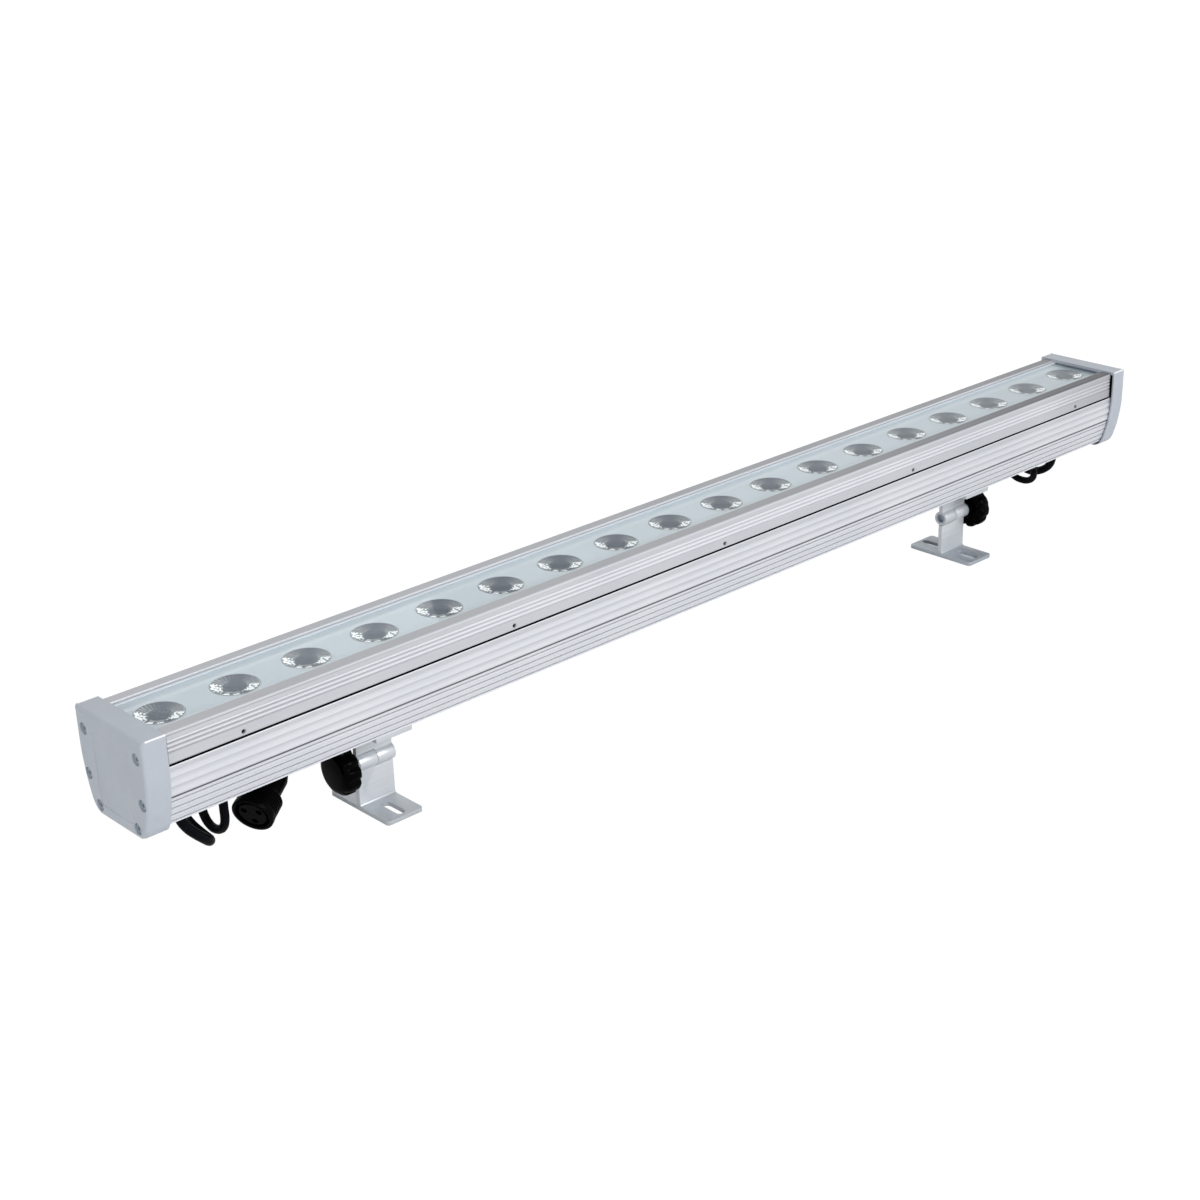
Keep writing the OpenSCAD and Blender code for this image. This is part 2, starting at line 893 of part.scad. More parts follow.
module cap_screws() color([0.5, 0.54, 0.57]) {
    for (p = cap_screw_places) difference() {
        union() {
            rod_x(head_seat_x, head_top_x, cap_head_r, p[0], p[1]);
            rod_x(body_end_x - screw_grip, head_top_x, screw_r, p[0], p[1]);
        }
        translate([head_top_x - cap_head_h / 2, p[0], p[1]])
            rotate([0, 90, 0]) cylinder(h = cap_head_h, r = cap_head_r / 2, $fn = 6);
    }
}

module right_cap_screws() {
    on_end(1) cap_screws();
}

module left_cap_screws() {
    on_end(-1) cap_screws();
}

// Brackets and feet, drawn about X zero with the knob towards +X

// Flat plate with an upright web and round fillets, as half an outline
function flanged_half(half, near_z, far_z, web_end_z) =
    let (web = web_thickness / 2)
    let (turn = web_end_z > far_z ? 1 : -1)
    concat(
        [[half, near_z], [half, far_z]],
        [
            for (i = [0:fillet_steps])
                let (angle = 90 * i / fillet_steps)
                [
                    web + fillet_r * (1 - sin(angle)),
                    far_z + turn * fillet_r * (1 - cos(angle))
                ]
        ],
        [[web, web_end_z]]
    );

module upper_bracket() color([0.72, 0.73, 0.75]) {
    half = bracket_length / 2;
    flange_bottom = base_z - flange_thickness;
    difference() {
        union() {
            bar_run(-half, half) polygon(both_sides(
                flanged_half(flange_width / 2, base_z, flange_bottom, hinge_height)
            ));
            rod_x(-half, -seam / 2, knuckle_r, 0, hinge_height);
        }
        rod_x(-seam / 2, half + over, knuckle_r + knuckle_clear, 0, hinge_height);
        rod_x(-half - over, half, insert_r + insert_wall_gap, 0, hinge_height);
        for (y = [-1, 1])
            translate([0, y * bracket_screw_y, flange_bottom - over])
                cylinder(
                    h = flange_thickness + 2 * over,
                    r = bracket_screw_r + bracket_hole_gap
                );
    }
}

module hinge_insert() color([0.75, 0.65, 0.35]) {
    half = bracket_length / 2;
    difference() {
        rod_x(-half, -seam / 2, insert_r, 0, hinge_height);
        rod_x(-half - over, over, bore_r, 0, hinge_height);
    }
}

module foot() color([0.74, 0.75, 0.77]) {
    half = bracket_length / 2;
    corner = plate_round;
    straight = (slot_length - slot_width) / 2;
    difference() {
        union() {
            intersection() {
                bar_run(-half, half) polygon(both_sides(
                    flanged_half(foot_width / 2, 0, foot_thickness, hinge_height)
                ));
                union() {
                    block(
                        [-half, corner - foot_width / 2, 0],
                        [half, foot_width / 2 - corner, hinge_height + knuckle_r]
                    );
                    block(
                        [corner - half, -foot_width / 2, 0],
                        [half - corner, foot_width / 2, foot_thickness]
                    );
                    for (x = [-1, 1], y = [-1, 1])
                        translate([x * (half - corner), y * (foot_width / 2 - corner), 0])
                            cylinder(h = foot_thickness, r = corner);
                }
            }
            rod_x(seam / 2, half, knuckle_r, 0, hinge_height);
        }
        rod_x(-half - over, seam / 2, knuckle_r + knuckle_clear, 0, hinge_height);
        rod_x(0, half + over, bore_r, 0, hinge_height);
        for (y = [-1, 1]) translate([0, y * slot_spacing / 2, -over]) {
            for (end = [-1, 1])
                translate([0, end * straight, 0])
                    cylinder(h = foot_thickness + 2 * over, r = slot_width / 2);
            block(
                [-slot_width / 2, -straight, 0],
                [slot_width / 2, straight, foot_thickness + 2 * over]
            );
        }
    }
}

module clamp_washer() color([0.7, 0.71, 0.73]) {
    difference() {
        rod_x(washer_x, washer_x + washer_thickness, knuckle_r, 0, hinge_height);
        rod_x(0, washer_x + washer_thickness + over, bore_r, 0, hinge_height);
    }
}

// Lobed outline by a formula
module lobed_disc(r, depth, count) {
    points = count * lobe_steps;
    polygon([
        for (i = [0:points - 1])
            let (angle = 360 * i / points)
            let (reach = r - depth * pow(sin(count * angle / 2), 2))
            [reach * cos(angle), reach * sin(angle)]
    ]);
}

module knob() color([0.09, 0.09, 0.1]) {
    r = knob_diameter / 2;
    translate([0, 0, hinge_height]) difference() {
        union() {
            rod_x(hub_x, rim_x + knob_edge, hub_diameter / 2, 0, 0);
            intersection() {
                translate([rim_x, 0, 0]) rotate([0, 90, 0])
                    linear_extrude(height = knob_rim) lobed_disc(r, lobe_depth, knob_lobes);
                translate([rim_x, 0, 0]) rotate([0, 90, 0]) rotate_extrude() polygon([
                    [0, 0],
                    [r - knob_edge, 0],
                    [r - knob_edge * 0.3, knob_edge * 0.3],
                    [r, knob_edge],
                    for (share = knob_dome) [r * share[0], knob_rim * share[1]],
                    [0, knob_rim]
                ]);
            }
        }
        rod_x(hub_x - over, rim_x + stud_grip - hub_length, stud_r + running_gap, 0, 0);
    }
}

module knob_stud() color([0.7, 0.71, 0.72]) {
    rod_x(-stud_start_x, rim_x + stud_grip - hub_length, stud_r, 0, hinge_height);
}

// Place of the left bracket set, with its knob towards the left end
module at_left_bracket() {
    translate([-bracket_x, 0, 0]) mirror([1, 0, 0]) children();
}

module at_right_bracket() {
    translate([bracket_x, 0, 0]) children();
}

module left_upper_bracket() {
    at_left_bracket() upper_bracket();
}

module right_upper_bracket() {
    at_right_bracket() upper_bracket();
}

module left_hinge_insert() {
    at_left_bracket() hinge_insert();
}

module right_hinge_insert() {
    at_right_bracket() hinge_insert();
}

module left_foot() {
    at_left_bracket() foot();
}

module right_foot() {
    at_right_bracket() foot();
}

module left_washer() {
    at_left_bracket() clamp_washer();
}

module right_washer() {
    at_right_bracket() clamp_washer();
}

module left_knob() {
    at_left_bracket() knob();
}

module right_knob() {
    at_right_bracket() knob();
}

module left_knob_stud() {
    at_left_bracket() knob_stud();
}

module right_knob_stud() {
    at_right_bracket() knob_stud();
}

module bracket_screws() color([0.55, 0.56, 0.58]) {
    seat_z = base_z - flange_thickness;
    for (x = [-1, 1], y = [-1, 1])
        translate([x * bracket_x, y * bracket_screw_y, seat_z]) difference() {
            union() {
                translate([0, 0, -bracket_screw_head_h])
                    cylinder(h = bracket_screw_head_h, r = bracket_screw_head_r);
                cylinder(h = flange_thickness + bracket_screw_grip, r = bracket_screw_r);
            }
            translate([0, 0, -bracket_screw_head_h - over])
                cylinder(h = hex_depth + over, r = hex_r, $fn = 6);
        }
}

// Glands, leads and connectors

// Where each lead leaves the body, with its diameter
glands = [
    [left_power_start[0], left_power_start[1], power_cord],
    [left_signal_start[0], left_signal_start[1], signal_cord],
    [right_signal_start[0], right_signal_start[1], signal_cord],
    [right_power_start[0], right_power_start[1], power_cord]
];

module cord_glands() color([0.08, 0.08, 0.09]) {
    nut_z = base_z - gland_nut_h;
    for (g = glands) translate([g[0], g[1], 0]) difference() {
        union() {
            translate([0, 0, nut_z]) cylinder(h = gland_nut_h, r = gland_width / 2, $fn = 6);
            translate([0, 0, base_z]) cylinder(h = gland_stub_h, r = gland_stub_r);
            translate([0, 0, gland_mouth]) rotate_extrude() polygon([
                [0, 0],
                [gland_lip_r, 0],
                [gland_dome_r, gland_dome_h / 2],
                [gland_dome_r, gland_dome_h],
                [0, gland_dome_h]
            ]);
        }
        translate([0, 0, gland_mouth - over])
            cylinder(h = gland_bore_rise + over, r = g[2] / 2 + gland_bore_gap);
    }
}

// Unit direction from one point to another
function direction(from, to) = (to - from) / norm(to - from);

// Direction of the route at one of its points
function tangent(route, i) = direction(
    route[max(i - 1, 0)],
    route[min(i + 1, len(route) - 1)]
);

// One ring of the tube, turned as little as possible from the one before it
function carry(side, along) = direction([0, 0, 0], side - (side * along) * along);
function side_at(route, i) =
    i == 0 ? [0, 1, 0] : carry(side_at(route, i - 1), tangent(route, i));

module tube(start, route, diameter, last_way) {
    ends = len(route) - 1;
    rings = [
        for (i = [0:ends])
            let (along = i == 0 ? [0, 0, -1] : i == ends ? last_way : tangent(route, i))
            let (side = i == 0 ? [0, 1, 0] : carry(side_at(route, i), along))
            let (other = cross(along, side))
            for (k = [0:cord_sides - 1])
                start + route[i] + diameter / 2
                    * (side * cos(360 * k / cord_sides) + other * sin(360 * k / cord_sides))
    ];
    walls = [
        for (i = [0:ends - 1], k = [0:cord_sides - 1])
            let (a = i * cord_sides + k)
            let (b = i * cord_sides + (k + 1) % cord_sides)
            each [
                [a, a + cord_sides, b + cord_sides],
                [a, b + cord_sides, b]
            ]
    ];
    first = [for (k = [0:cord_sides - 1]) k];
    last = [for (k = [cord_sides - 1:-1:0]) ends * cord_sides + k];
    polyhedron(points = rings, faces = concat(walls, [first], [last]));
}

module left_power_cord() color([0.06, 0.06, 0.07]) {
    tube(left_power_start, left_power_route, power_cord, [1, 0, 0]);
}

module left_signal_cord() color([0.06, 0.06, 0.07]) {
    tube(left_signal_start, left_signal_route, signal_cord, socket_way);
}

module right_signal_cord() color([0.06, 0.06, 0.07]) {
    tube(right_signal_start, right_signal_route, signal_cord, [-1, 0, 0]);
}

module right_power_cord() color([0.06, 0.06, 0.07]) {
    tube(right_power_start, right_power_route, power_cord, [-1, 0, 0]);
}

// Last point of a route from its start
function route_end(start, route) = start + route[len(route) - 1];

// Places a connector at the end of its lead: its tail at zero and its face towards +Z
module at_socket() {
    translate(route_end(left_signal_start, left_signal_route)) rotate([0, 0, socket_yaw])
        rotate([0, -90 - socket_pitch, 0]) children();
}

module left_signal_socket() color([0.07, 0.07, 0.08]) {
    tail = socket_length - socket_body_end;
    collar_low = socket_length - collar_length;
    at_socket() difference() {
        rotate_extrude() polygon([
            [0, 0],
            [socket_tail_r, 0],
            [socket_body_r, tail],
            [socket_body_r, collar_low],
            [collar_r, collar_low],
            [collar_r, socket_length],
            [collar_bore_r, socket_length],
            [collar_bore_r, socket_length - socket_recess],
            [0, socket_length - socket_recess]
        ]);
        for (k = [0:2]) rotate([0, 0, 120 * k]) translate([contact_ring, 0, 0])
            translate([0, 0, socket_length - socket_recess - contact_length])
            cylinder(h = contact_length + over, r = contact_r + running_gap);
    }
}

module left_signal_contacts() color([0.8, 0.68, 0.35]) {
    low = socket_length - socket_recess - contact_length;
    at_socket() for (k = [0:2]) rotate([0, 0, 120 * k]) translate([contact_ring, 0, low])
        difference() {
            cylinder(h = contact_length * 0.7, r = contact_r);
            translate([0, 0, contact_length * 0.2])
                cylinder(h = contact_length, r = contact_r * 0.6);
        }
}

// Straight connector whose tail is at zero and whose face looks along +X
module plug_body() {
    rotate([0, 90, 0]) rotate_extrude() polygon([
        [0, 0],
        [plug_tail_r, 0],
        [plug_r - nut_wall, plug_tail],
        [plug_r - nut_wall, plug_length - nut_length - moving_gap],
        [plug_face_r, plug_length - nut_length - moving_gap],
        [plug_face_r, plug_length],
        [0, plug_length]
    ]);
}

module contact_places(count, ring) {
    for (k = [0:count - 1]) rotate([360 * k / count, 0, 0]) translate([0, 0, ring]) children();
}

module left_power_socket() color([0.07, 0.07, 0.08]) {
    translate(route_end(left_power_start, left_power_route)) difference() {
        rotate([0, 90, 0]) rotate_extrude() polygon([
            [0, 0],
            [plug_tail_r, 0],
            [plug_r, plug_tail],
            [plug_r, plug_length],
            [0, plug_length]
        ]);
        contact_places(pin_count, pin_ring)
            rod_x(plug_length - pin_length, plug_length + over, contact_r + running_gap, 0, 0);
    }
}

module left_power_contacts() color([0.8, 0.68, 0.35]) {
    translate(route_end(left_power_start, left_power_route))
        contact_places(pin_count, pin_ring) difference() {
        rod_x(plug_length - pin_length, plug_length - pin_length / 4, contact_r, 0, 0);
        rod_x(plug_length - pin_length / 2, plug_length, contact_r * 0.6, 0, 0);
    }
}

// Plugs at the right end, which look back along the bar
module at_plug(start, route) {
    translate(route_end(start, route)) mirror([1, 0, 0]) children();
}

module plug_with_holes() {
    difference() {
        plug_body();
        contact_places(pin_count, pin_ring)
            rod_x(plug_length - pin_length / 2, plug_length + over, pin_r + running_gap, 0, 0);
    }
}

module plug_pins() color([0.8, 0.68, 0.35]) {
    contact_places(pin_count, pin_ring)
        rod_x(plug_length - pin_length / 2, plug_length + pin_length / 2, pin_r, 0, 0);
}

module coupling_nut() color([0.1, 0.1, 0.11]) {
    low = plug_length - nut_length;
    difference() {
        translate([low, 0, 0]) rotate([0, 90, 0])
            linear_extrude(height = nut_length + pin_length / 2)
            lobed_disc(plug_r, nut_wall / 4, grip_count);
        rod_x(low - over, plug_length + pin_length, plug_face_r + moving_gap, 0, 0);
    }
}

module right_signal_plug() color([0.07, 0.07, 0.08]) {
    at_plug(right_signal_start, right_signal_route) plug_with_holes();
}

module right_signal_pins() {
    at_plug(right_signal_start, right_signal_route) plug_pins();
}

module right_signal_nut() {
    at_plug(right_signal_start, right_signal_route) coupling_nut();
}

module right_power_plug() color([0.07, 0.07, 0.08]) {
    at_plug(right_power_start, right_power_route) plug_with_holes();
}

module right_power_pins() {
    at_plug(right_power_start, right_power_route) plug_pins();
}

module right_power_nut() {
    at_plug(right_power_start, right_power_route) coupling_nut();
}

// Width and height of a lead where it passes a place along the bar, near its end
function lead_at(start, route, x, first) =
    let (run = [for (i = [first:len(route) - 1]) start + route[i]])
    [
        lookup(x, [for (p = run) [p[0], p[1]]]),
        lookup(x, [for (p = run) [p[0], p[2]]])
    ];

// Band round two leads that run side by side along X
module tie(x, a, b) {
    power_r = power_cord / 2 + tie_slack;
    signal_r = signal_cord / 2 + tie_slack;
    difference() {
        hull() {
            rod_x(x, x + tie_width, power_r + tie_thickness, a[0], a[1], $fn = 32);
            rod_x(x, x + tie_width, signal_r + tie_thickness, b[0], b[1], $fn = 32);
        }
        hull() {
            rod_x(x - over, x + tie_width + over, power_r, a[0], a[1], $fn = 32);
            rod_x(x - over, x + tie_width + over, signal_r, b[0], b[1], $fn = 32);
        }
    }
}

module cord_ties() color([0.12, 0.12, 0.13]) {
    left_x = left_power_start[0] + left_tie_run;
    right_x = right_power_start[0] - right_tie_run;
    tie(
        left_x,
        lead_at(left_power_start, left_power_route, left_x + tie_width / 2, 13),
        lead_at(left_signal_start, left_signal_part, left_x + tie_width / 2, 9)
    );
    tie(
        right_x,
        lead_at(right_power_start, right_power_route, right_x + tie_width / 2, 9),
        lead_at(right_signal_start, right_signal_route, right_x + tie_width / 2, 9)
    );
}

heatsink();
front_rail();
back_rail();
front_rail_seal();
back_rail_seal();
front_rail_screws();
back_rail_screws();
glass_pane();
glass_gasket();
lens_tray();
left_lenses();
middle_lenses();
right_lenses();
left_led_board();
middle_led_board();
right_led_board();
left_led_chips();
middle_led_chips();
right_led_chips();
driver_board();
driver_tray();
driver_transformer();
driver_capacitors();
left_end_cap();
right_end_cap();
left_cap_seal();
right_cap_seal();
left_cap_screws();
right_cap_screws();
left_upper_bracket();
right_upper_bracket();
bracket_screws();
left_hinge_insert();
right_hinge_insert();
left_foot();
right_foot();
left_washer();
right_washer();
left_knob();
right_knob();
left_knob_stud();
right_knob_stud();
cord_glands();
left_power_cord();
left_signal_cord();
right_signal_cord();
right_power_cord();
left_signal_socket();
left_signal_contacts();
left_power_socket();
left_power_contacts();
right_signal_plug();
right_signal_pins();
right_signal_nut();
right_power_plug();
right_power_pins();
right_power_nut();
cord_ties();
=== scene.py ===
# %% [markdown]
# # LED wall washer light bar
# A long finned aluminium bar with round lenses under glass, two cast end caps,
# two tilting feet with clamp knobs and four short leads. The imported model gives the
# sizes, and a few small details follow the photograph instead. This scene dresses it: it
# draws the pieces whose edges and surfaces need more than flat faces, and gives every
# piece its finish.

import math
import random

import bpy
from mathutils import Matrix, Vector


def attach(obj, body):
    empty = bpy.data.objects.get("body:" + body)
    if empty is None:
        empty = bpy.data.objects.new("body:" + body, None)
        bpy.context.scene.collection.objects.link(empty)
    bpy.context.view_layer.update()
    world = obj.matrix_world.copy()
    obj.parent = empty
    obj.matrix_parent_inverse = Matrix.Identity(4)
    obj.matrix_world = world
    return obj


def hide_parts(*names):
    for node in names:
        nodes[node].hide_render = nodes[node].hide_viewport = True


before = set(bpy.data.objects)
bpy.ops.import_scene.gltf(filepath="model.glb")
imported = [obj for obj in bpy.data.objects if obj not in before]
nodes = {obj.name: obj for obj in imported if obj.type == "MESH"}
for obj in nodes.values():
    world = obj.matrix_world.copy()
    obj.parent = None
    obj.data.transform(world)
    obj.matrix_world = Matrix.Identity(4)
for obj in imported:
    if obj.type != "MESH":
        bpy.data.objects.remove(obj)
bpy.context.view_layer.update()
print("CAD nodes:", len(nodes))


# %% Small helpers that the whole lesson uses
def deselect_all():
    """Loading leaves the nodes selected, and an operator works on all that is selected."""
    if bpy.context.mode != "OBJECT":
        bpy.ops.object.mode_set(mode="OBJECT")
    bpy.ops.object.select_all(action="DESELECT")


def make_active(piece):
    deselect_all()
    piece.select_set(True)
    bpy.context.view_layer.objects.active = piece


def apply_modifiers(piece):
    make_active(piece)
    for modifier in list(piece.modifiers):
        bpy.ops.object.modifier_apply(modifier=modifier.name)


def settle(piece):
    """Puts the place of a piece into its mesh, so that its object sits at the origin."""
    make_active(piece)
    bpy.ops.object.transform_apply(location=True, rotation=True, scale=True)


def finish_piece(piece, body, material, slot, *stands_for):
    piece.data.materials.clear()
    piece.data.materials.append(material)
    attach(piece, body)
    if stands_for:
        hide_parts(*stands_for)
    count = len(piece.data.polygons) if piece.type == "MESH" else 0
    print(f"{piece.name}: {count} faces, rides on {body}")
    return piece


# %% [markdown]
# ## Camera
# The photograph looks down on the left end from about 42 degrees round and 23 degrees
# up, rolled by two degrees. The place was solved from edges of the bar, so it is typed
# here as it came out.

# %% Camera
CAMERA_LENS_MM = 62.46
CAMERA_PLACE = (-1.0328, -1.0225, 0.6697)
CAMERA_RIGHT = (0.7295, -0.6833, -0.0304)
CAMERA_UP = (0.2873, 0.2657, 0.9203)
camera_data = bpy.data.cameras.new("photo_camera")
camera_data.lens = CAMERA_LENS_MM
camera_data.sensor_width = 36
camera = bpy.data.objects.new("photo_camera", camera_data)
bpy.context.scene.collection.objects.link(camera)
right = Vector(CAMERA_RIGHT).normalized()
up = Vector(CAMERA_UP)
up = (up - up.dot(right) * right).normalized()
back = right.cross(up)
camera.matrix_world = Matrix(
    (
        (right.x, up.x, back.x, CAMERA_PLACE[0]),
        (right.y, up.y, back.y, CAMERA_PLACE[1]),
        (right.z, up.z, back.z, CAMERA_PLACE[2]),
        (0, 0, 0, 1),
    )
)
camera_data.clip_start = 0.05
camera_data.clip_end = 50
bpy.context.scene.camera = camera
print("camera at", [round(v, 3) for v in camera.location])

# %% [markdown]
# ## Leads
# Each lead is a soft black rubber cord that leaves its gland under the bar and bends
# back to its connector. A Bezier curve with automatic handles goes smoothly through the
# points of its route, and a round bevel gives it its thickness. The points are those of
# the model, each counted from where the lead starts.

# %% Routes of the leads, in millimetres
LEAD_TOP = 57
LEADS = {
    "left_power_cord": dict(
        start=(-460, 0, LEAD_TOP),
        diameter=7,
        length=0.125,
        route=[
            (0, 0, 0), (0, 0, -5), (1, -1, -10), (4, -2, -16), (9, -3, -22),
            (15.1, -2.3, -28.1), (20.1, 0.8, -33), (23.5, 6, -35.8), (24.8, 12.2, -36.6),
            (24.4, 18.3, -35.4), (22.5, 24.5, -31.6), (20.1, 29.7, -24.1),
            (20, 33.9, -17.1), (24.1, 36.9, -10.1), (31, 38, -6), (41, 38, -5),
            (53, 38, -5),
        ],
    ),
    "left_signal_cord": dict(
        start=(-426, 2, LEAD_TOP),
        diameter=6,
        length=0.21,
        route=[
            (0, 0, 0), (0, 0, -8), (0, 0, -16), (0, 0, -23.1), (0, 2, -29),
            (-0.2, 6.5, -33.3), (-0.8, 12.5, -34.9), (-1, 18.6, -33.5),
            (-1, 23.3, -29.3), (-0.9, 25.4, -23.2), (0, 24.6, -15.1),
            (1.6, 24.5, -8.1), (6.1, 24.5, -2.6), (12.1, 24.4, -0.1), (22.2, 22.8, 0),
            (37.3, 16.4, 0), (52.3, 9.2, 0), (67, 0.7, 0.2), (75.5, 0.2, 0.6),
            (81.7, 4.1, 0.5), (84.7, 10.5, -0.3), (83.8, 17.4, -1.7),
            (79.1, 22.8, -3.6), (72.3, 24.7, -5.5), (66, 23, -7), (60, 20, -10),
        ],
    ),
    "right_signal_cord": dict(
        start=(424, 0, LEAD_TOP),
        diameter=6,
        length=0.088,
        route=[
            (0, 0, 0), (0, 0, -5), (1, 0, -10), (3.1, 0.8, -16.1), (5.9, 3.9, -22),
            (7, 9, -25.8), (6.9, 15.1, -26.9), (5.1, 21.1, -25.2), (2.8, 25.5, -20.5),
            (-0.5, 26.9, -13.5), (-4.1, 25.7, -9.2), (-9.1, 23.3, -6.4),
            (-14, 20.5, -6), (-20, 19, -5), (-26, 19, -5),
        ],
    ),
    "right_power_cord": dict(
        start=(453, 0, LEAD_TOP),
        diameter=7,
        length=0.105,
        route=[
            (0, 0, 0), (0, 0, -5), (1, 1, -10), (2, 4, -16), (2, 9, -21), (0, 15, -24),
            (-2, 21, -24.9), (-4, 27, -23), (-6.9, 31.9, -18.8), (-12, 36, -13),
            (-19, 38, -9), (-28, 38, -7), (-37, 38, -7), (-46, 38, -7), (-55, 38, -7),
        ],
    ),
}


# %% Draw a lead
def draw_lead(name, lead):
    points = [
        Vector([(s + p) / 1000 for s, p in zip(lead["start"], point)])
        for point in lead["route"]
    ]
    line = bpy.data.curves.new(name + "_rubber", "CURVE")
    line.dimensions = "3D"
    spline = line.splines.new("BEZIER")
    spline.bezier_points.add(len(points) - 1)
    for knot, point in zip(spline.bezier_points, points):
        knot.co = point
        knot.handle_left_type = knot.handle_right_type = "AUTO"
    spline.resolution_u = 6
    line.bevel_depth = lead["diameter"] / 2000
    line.bevel_resolution = 5
    line.use_fill_caps = True
    cord = bpy.data.objects.new(name + "_rubber", line)
    bpy.context.scene.collection.objects.link(cord)
    return cord


leads = {name: draw_lead(name, lead) for name, lead in LEADS.items()}
print("leads:", ", ".join(leads))

# %% [markdown]
# ## Room and light
# The bar stands on a plain white floor that runs out of the picture. Three large soft
# lamps, one small sharp one and an even pale sky light it, so that a colour renders about
# as it is written. The sky is seen white by the camera, by metal and through glass.


# %% Helpers for shader nodes
def feed(tree, socket, value):
    """Gives a socket its value: a number, a colour, or the output of another node."""
    if isinstance(value, bpy.types.NodeSocket):
        tree.links.new(value, socket)
    else:
        socket.default_value = value


def calculated(tree, operation, *values):
    """The result of a Math node. Each value is a number or the output of another node."""
    node = tree.nodes.new("ShaderNodeMath")
    node.operation = operation
    for socket, value in zip(node.inputs, values):
        feed(tree, socket, value)
    return node.outputs[0]


def ranged(tree, value, start=0.0, end=1.0, low=0.0, high=1.0):
    """Goes from low to high as the value goes from start to end, and stays there."""
    node = tree.nodes.new("ShaderNodeMapRange")
    feed(tree, node.inputs["Value"], value)
    for title, number in (("From Min", start), ("From Max", end), ("To Min", low), ("To Max", high)):
        feed(tree, node.inputs[title], number)
    return node.outputs["Result"]


# %% Floor
def plain_material(name, colour, roughness):
    material = bpy.data.materials.new(name)
    material.use_nodes = True
    shader = material.node_tree.nodes["Principled BSDF"]
    shader.inputs["Base Color"].default_value = (*colour, 1)
    shader.inputs["Roughness"].default_value = roughness
    return material


deselect_all()
bpy.ops.mesh.primitive_plane_add(size=30, location=(0, 0, -0.0003))
floor = bpy.context.object
floor.name = "studio_floor"
settle(floor)
floor_material = plain_material("floor_paper", (0.93, 0.93, 0.93), 0.9)
tree = floor_material.node_tree
place = tree.nodes.new("ShaderNodeTexCoord")
distance = tree.nodes.new("ShaderNodeVectorMath")
distance.operation = "LENGTH"
tree.links.new(place.outputs["Object"], distance.inputs[0])
far_white = ranged(tree, distance.outputs["Value"], 0.6, 1.2, low=0.88)
seen = tree.nodes.new("ShaderNodeLightPath")
paper_glow = tree.nodes.new("ShaderNodeEmission")
paper_glow.inputs["Strength"].default_value = 1.08
paper = tree.nodes.new("ShaderNodeMixShader")
feed(tree, paper.inputs[0], calculated(tree, "MULTIPLY", seen.outputs["Is Camera Ray"], far_white))
feed(tree, paper.inputs[1], tree.nodes["Principled BSDF"].outputs[0])
feed(tree, paper.inputs[2], paper_glow.outputs[0])
feed(tree, tree.nodes["Material Output"].inputs["Surface"], paper.outputs[0])
floor.data.materials.append(floor_material)
print("floor:", [round(v, 2) for v in floor.dimensions])

# %% Sky
world = bpy.data.worlds.new("pale_sky")
world.use_nodes = True
bpy.context.scene.world = world
sky = world.node_tree
sky_shader = sky.nodes["Background"]
sky_shader.inputs["Color"].default_value = (1, 1, 1, 1)
SKY_ON_OBJECT = 0.38
paths = sky.nodes.new("ShaderNodeLightPath")
seen_white = paths.outputs["Is Camera Ray"]
for kind in ("Is Glossy Ray", "Is Transmission Ray"):
    seen_white = calculated(sky, "MAXIMUM", seen_white, paths.outputs[kind])
feed(sky, sky_shader.inputs["Strength"], ranged(sky, seen_white, low=SKY_ON_OBJECT))
print("sky strength on the object:", SKY_ON_OBJECT)


# %% Lamps
def soft_lamp(name, place, aim, size, power, reflected=True):
    """A flat lamp that looks at its aim. Shiny pieces mirror it if it is reflected."""
    data = bpy.data.lights.new(name, "AREA")
    data.shape = "RECTANGLE"
    data.size, data.size_y = size
    data.energy = power
    lamp = bpy.data.objects.new(name, data)
    lamp.location = place
    lamp.rotation_euler = (Vector(aim) - Vector(place)).to_track_quat("-Z", "Y").to_euler()
    lamp.visible_glossy = reflected
    bpy.context.scene.collection.objects.link(lamp)
    return lamp


soft_lamp("key_lamp", (0.15, -2.5, 1.5), (0.05, 0, 0.08), (1.6, 1.0), 42)
soft_lamp("end_lamp", (-2.4, -0.3, 0.9), (-0.4, 0, 0.08), (1.0, 0.8), 10)
soft_lamp("back_lamp", (0.4, 1.8, 1.6), (0, 0, 0.08), (1.6, 1.2), 8, reflected=False)
soft_lamp("spark_lamp", (-0.7, -1.6, 1.35), (-0.1, 0, 0.08), (0.06, 0.06), 2.5)
scene = bpy.context.scene
scene.view_settings.view_transform = "Standard"

# %% [markdown]
# ## Finishes
# Extruded aluminium has fine streaks along the bar, and cast paint, moulded plastic and
# rubber have a fine pebble with a little dust. Noise textures could be set up anew in each
# material. Here these two effects are node groups that give out masks, so that they are
# made once and each material only sets its own fineness and colours with them.


# %% Node group: streaks along the bar
def new_group(name, inputs, outputs):
    group = bpy.data.node_groups.new(name, "ShaderNodeTree")
    for title, value in inputs:
        socket = group.interface.new_socket(title, in_out="INPUT", socket_type="NodeSocketFloat")
        socket.default_value = value
    for title in outputs:
        group.interface.new_socket(title, in_out="OUTPUT", socket_type="NodeSocketFloat")
    entry = group.nodes.new("NodeGroupInput")
    leave = group.nodes.new("NodeGroupOutput")
    return group, entry, leave


def noise(group, vector, scale, detail=3.0, roughness=0.55):
    node = group.nodes.new("ShaderNodeTexNoise")
    node.inputs["Detail"].default_value = detail
    node.inputs["Roughness"].default_value = roughness
    feed(group, node.inputs["Scale"], scale)
    feed(group, node.inputs["Vector"], vector)
    return node.outputs["Fac"]


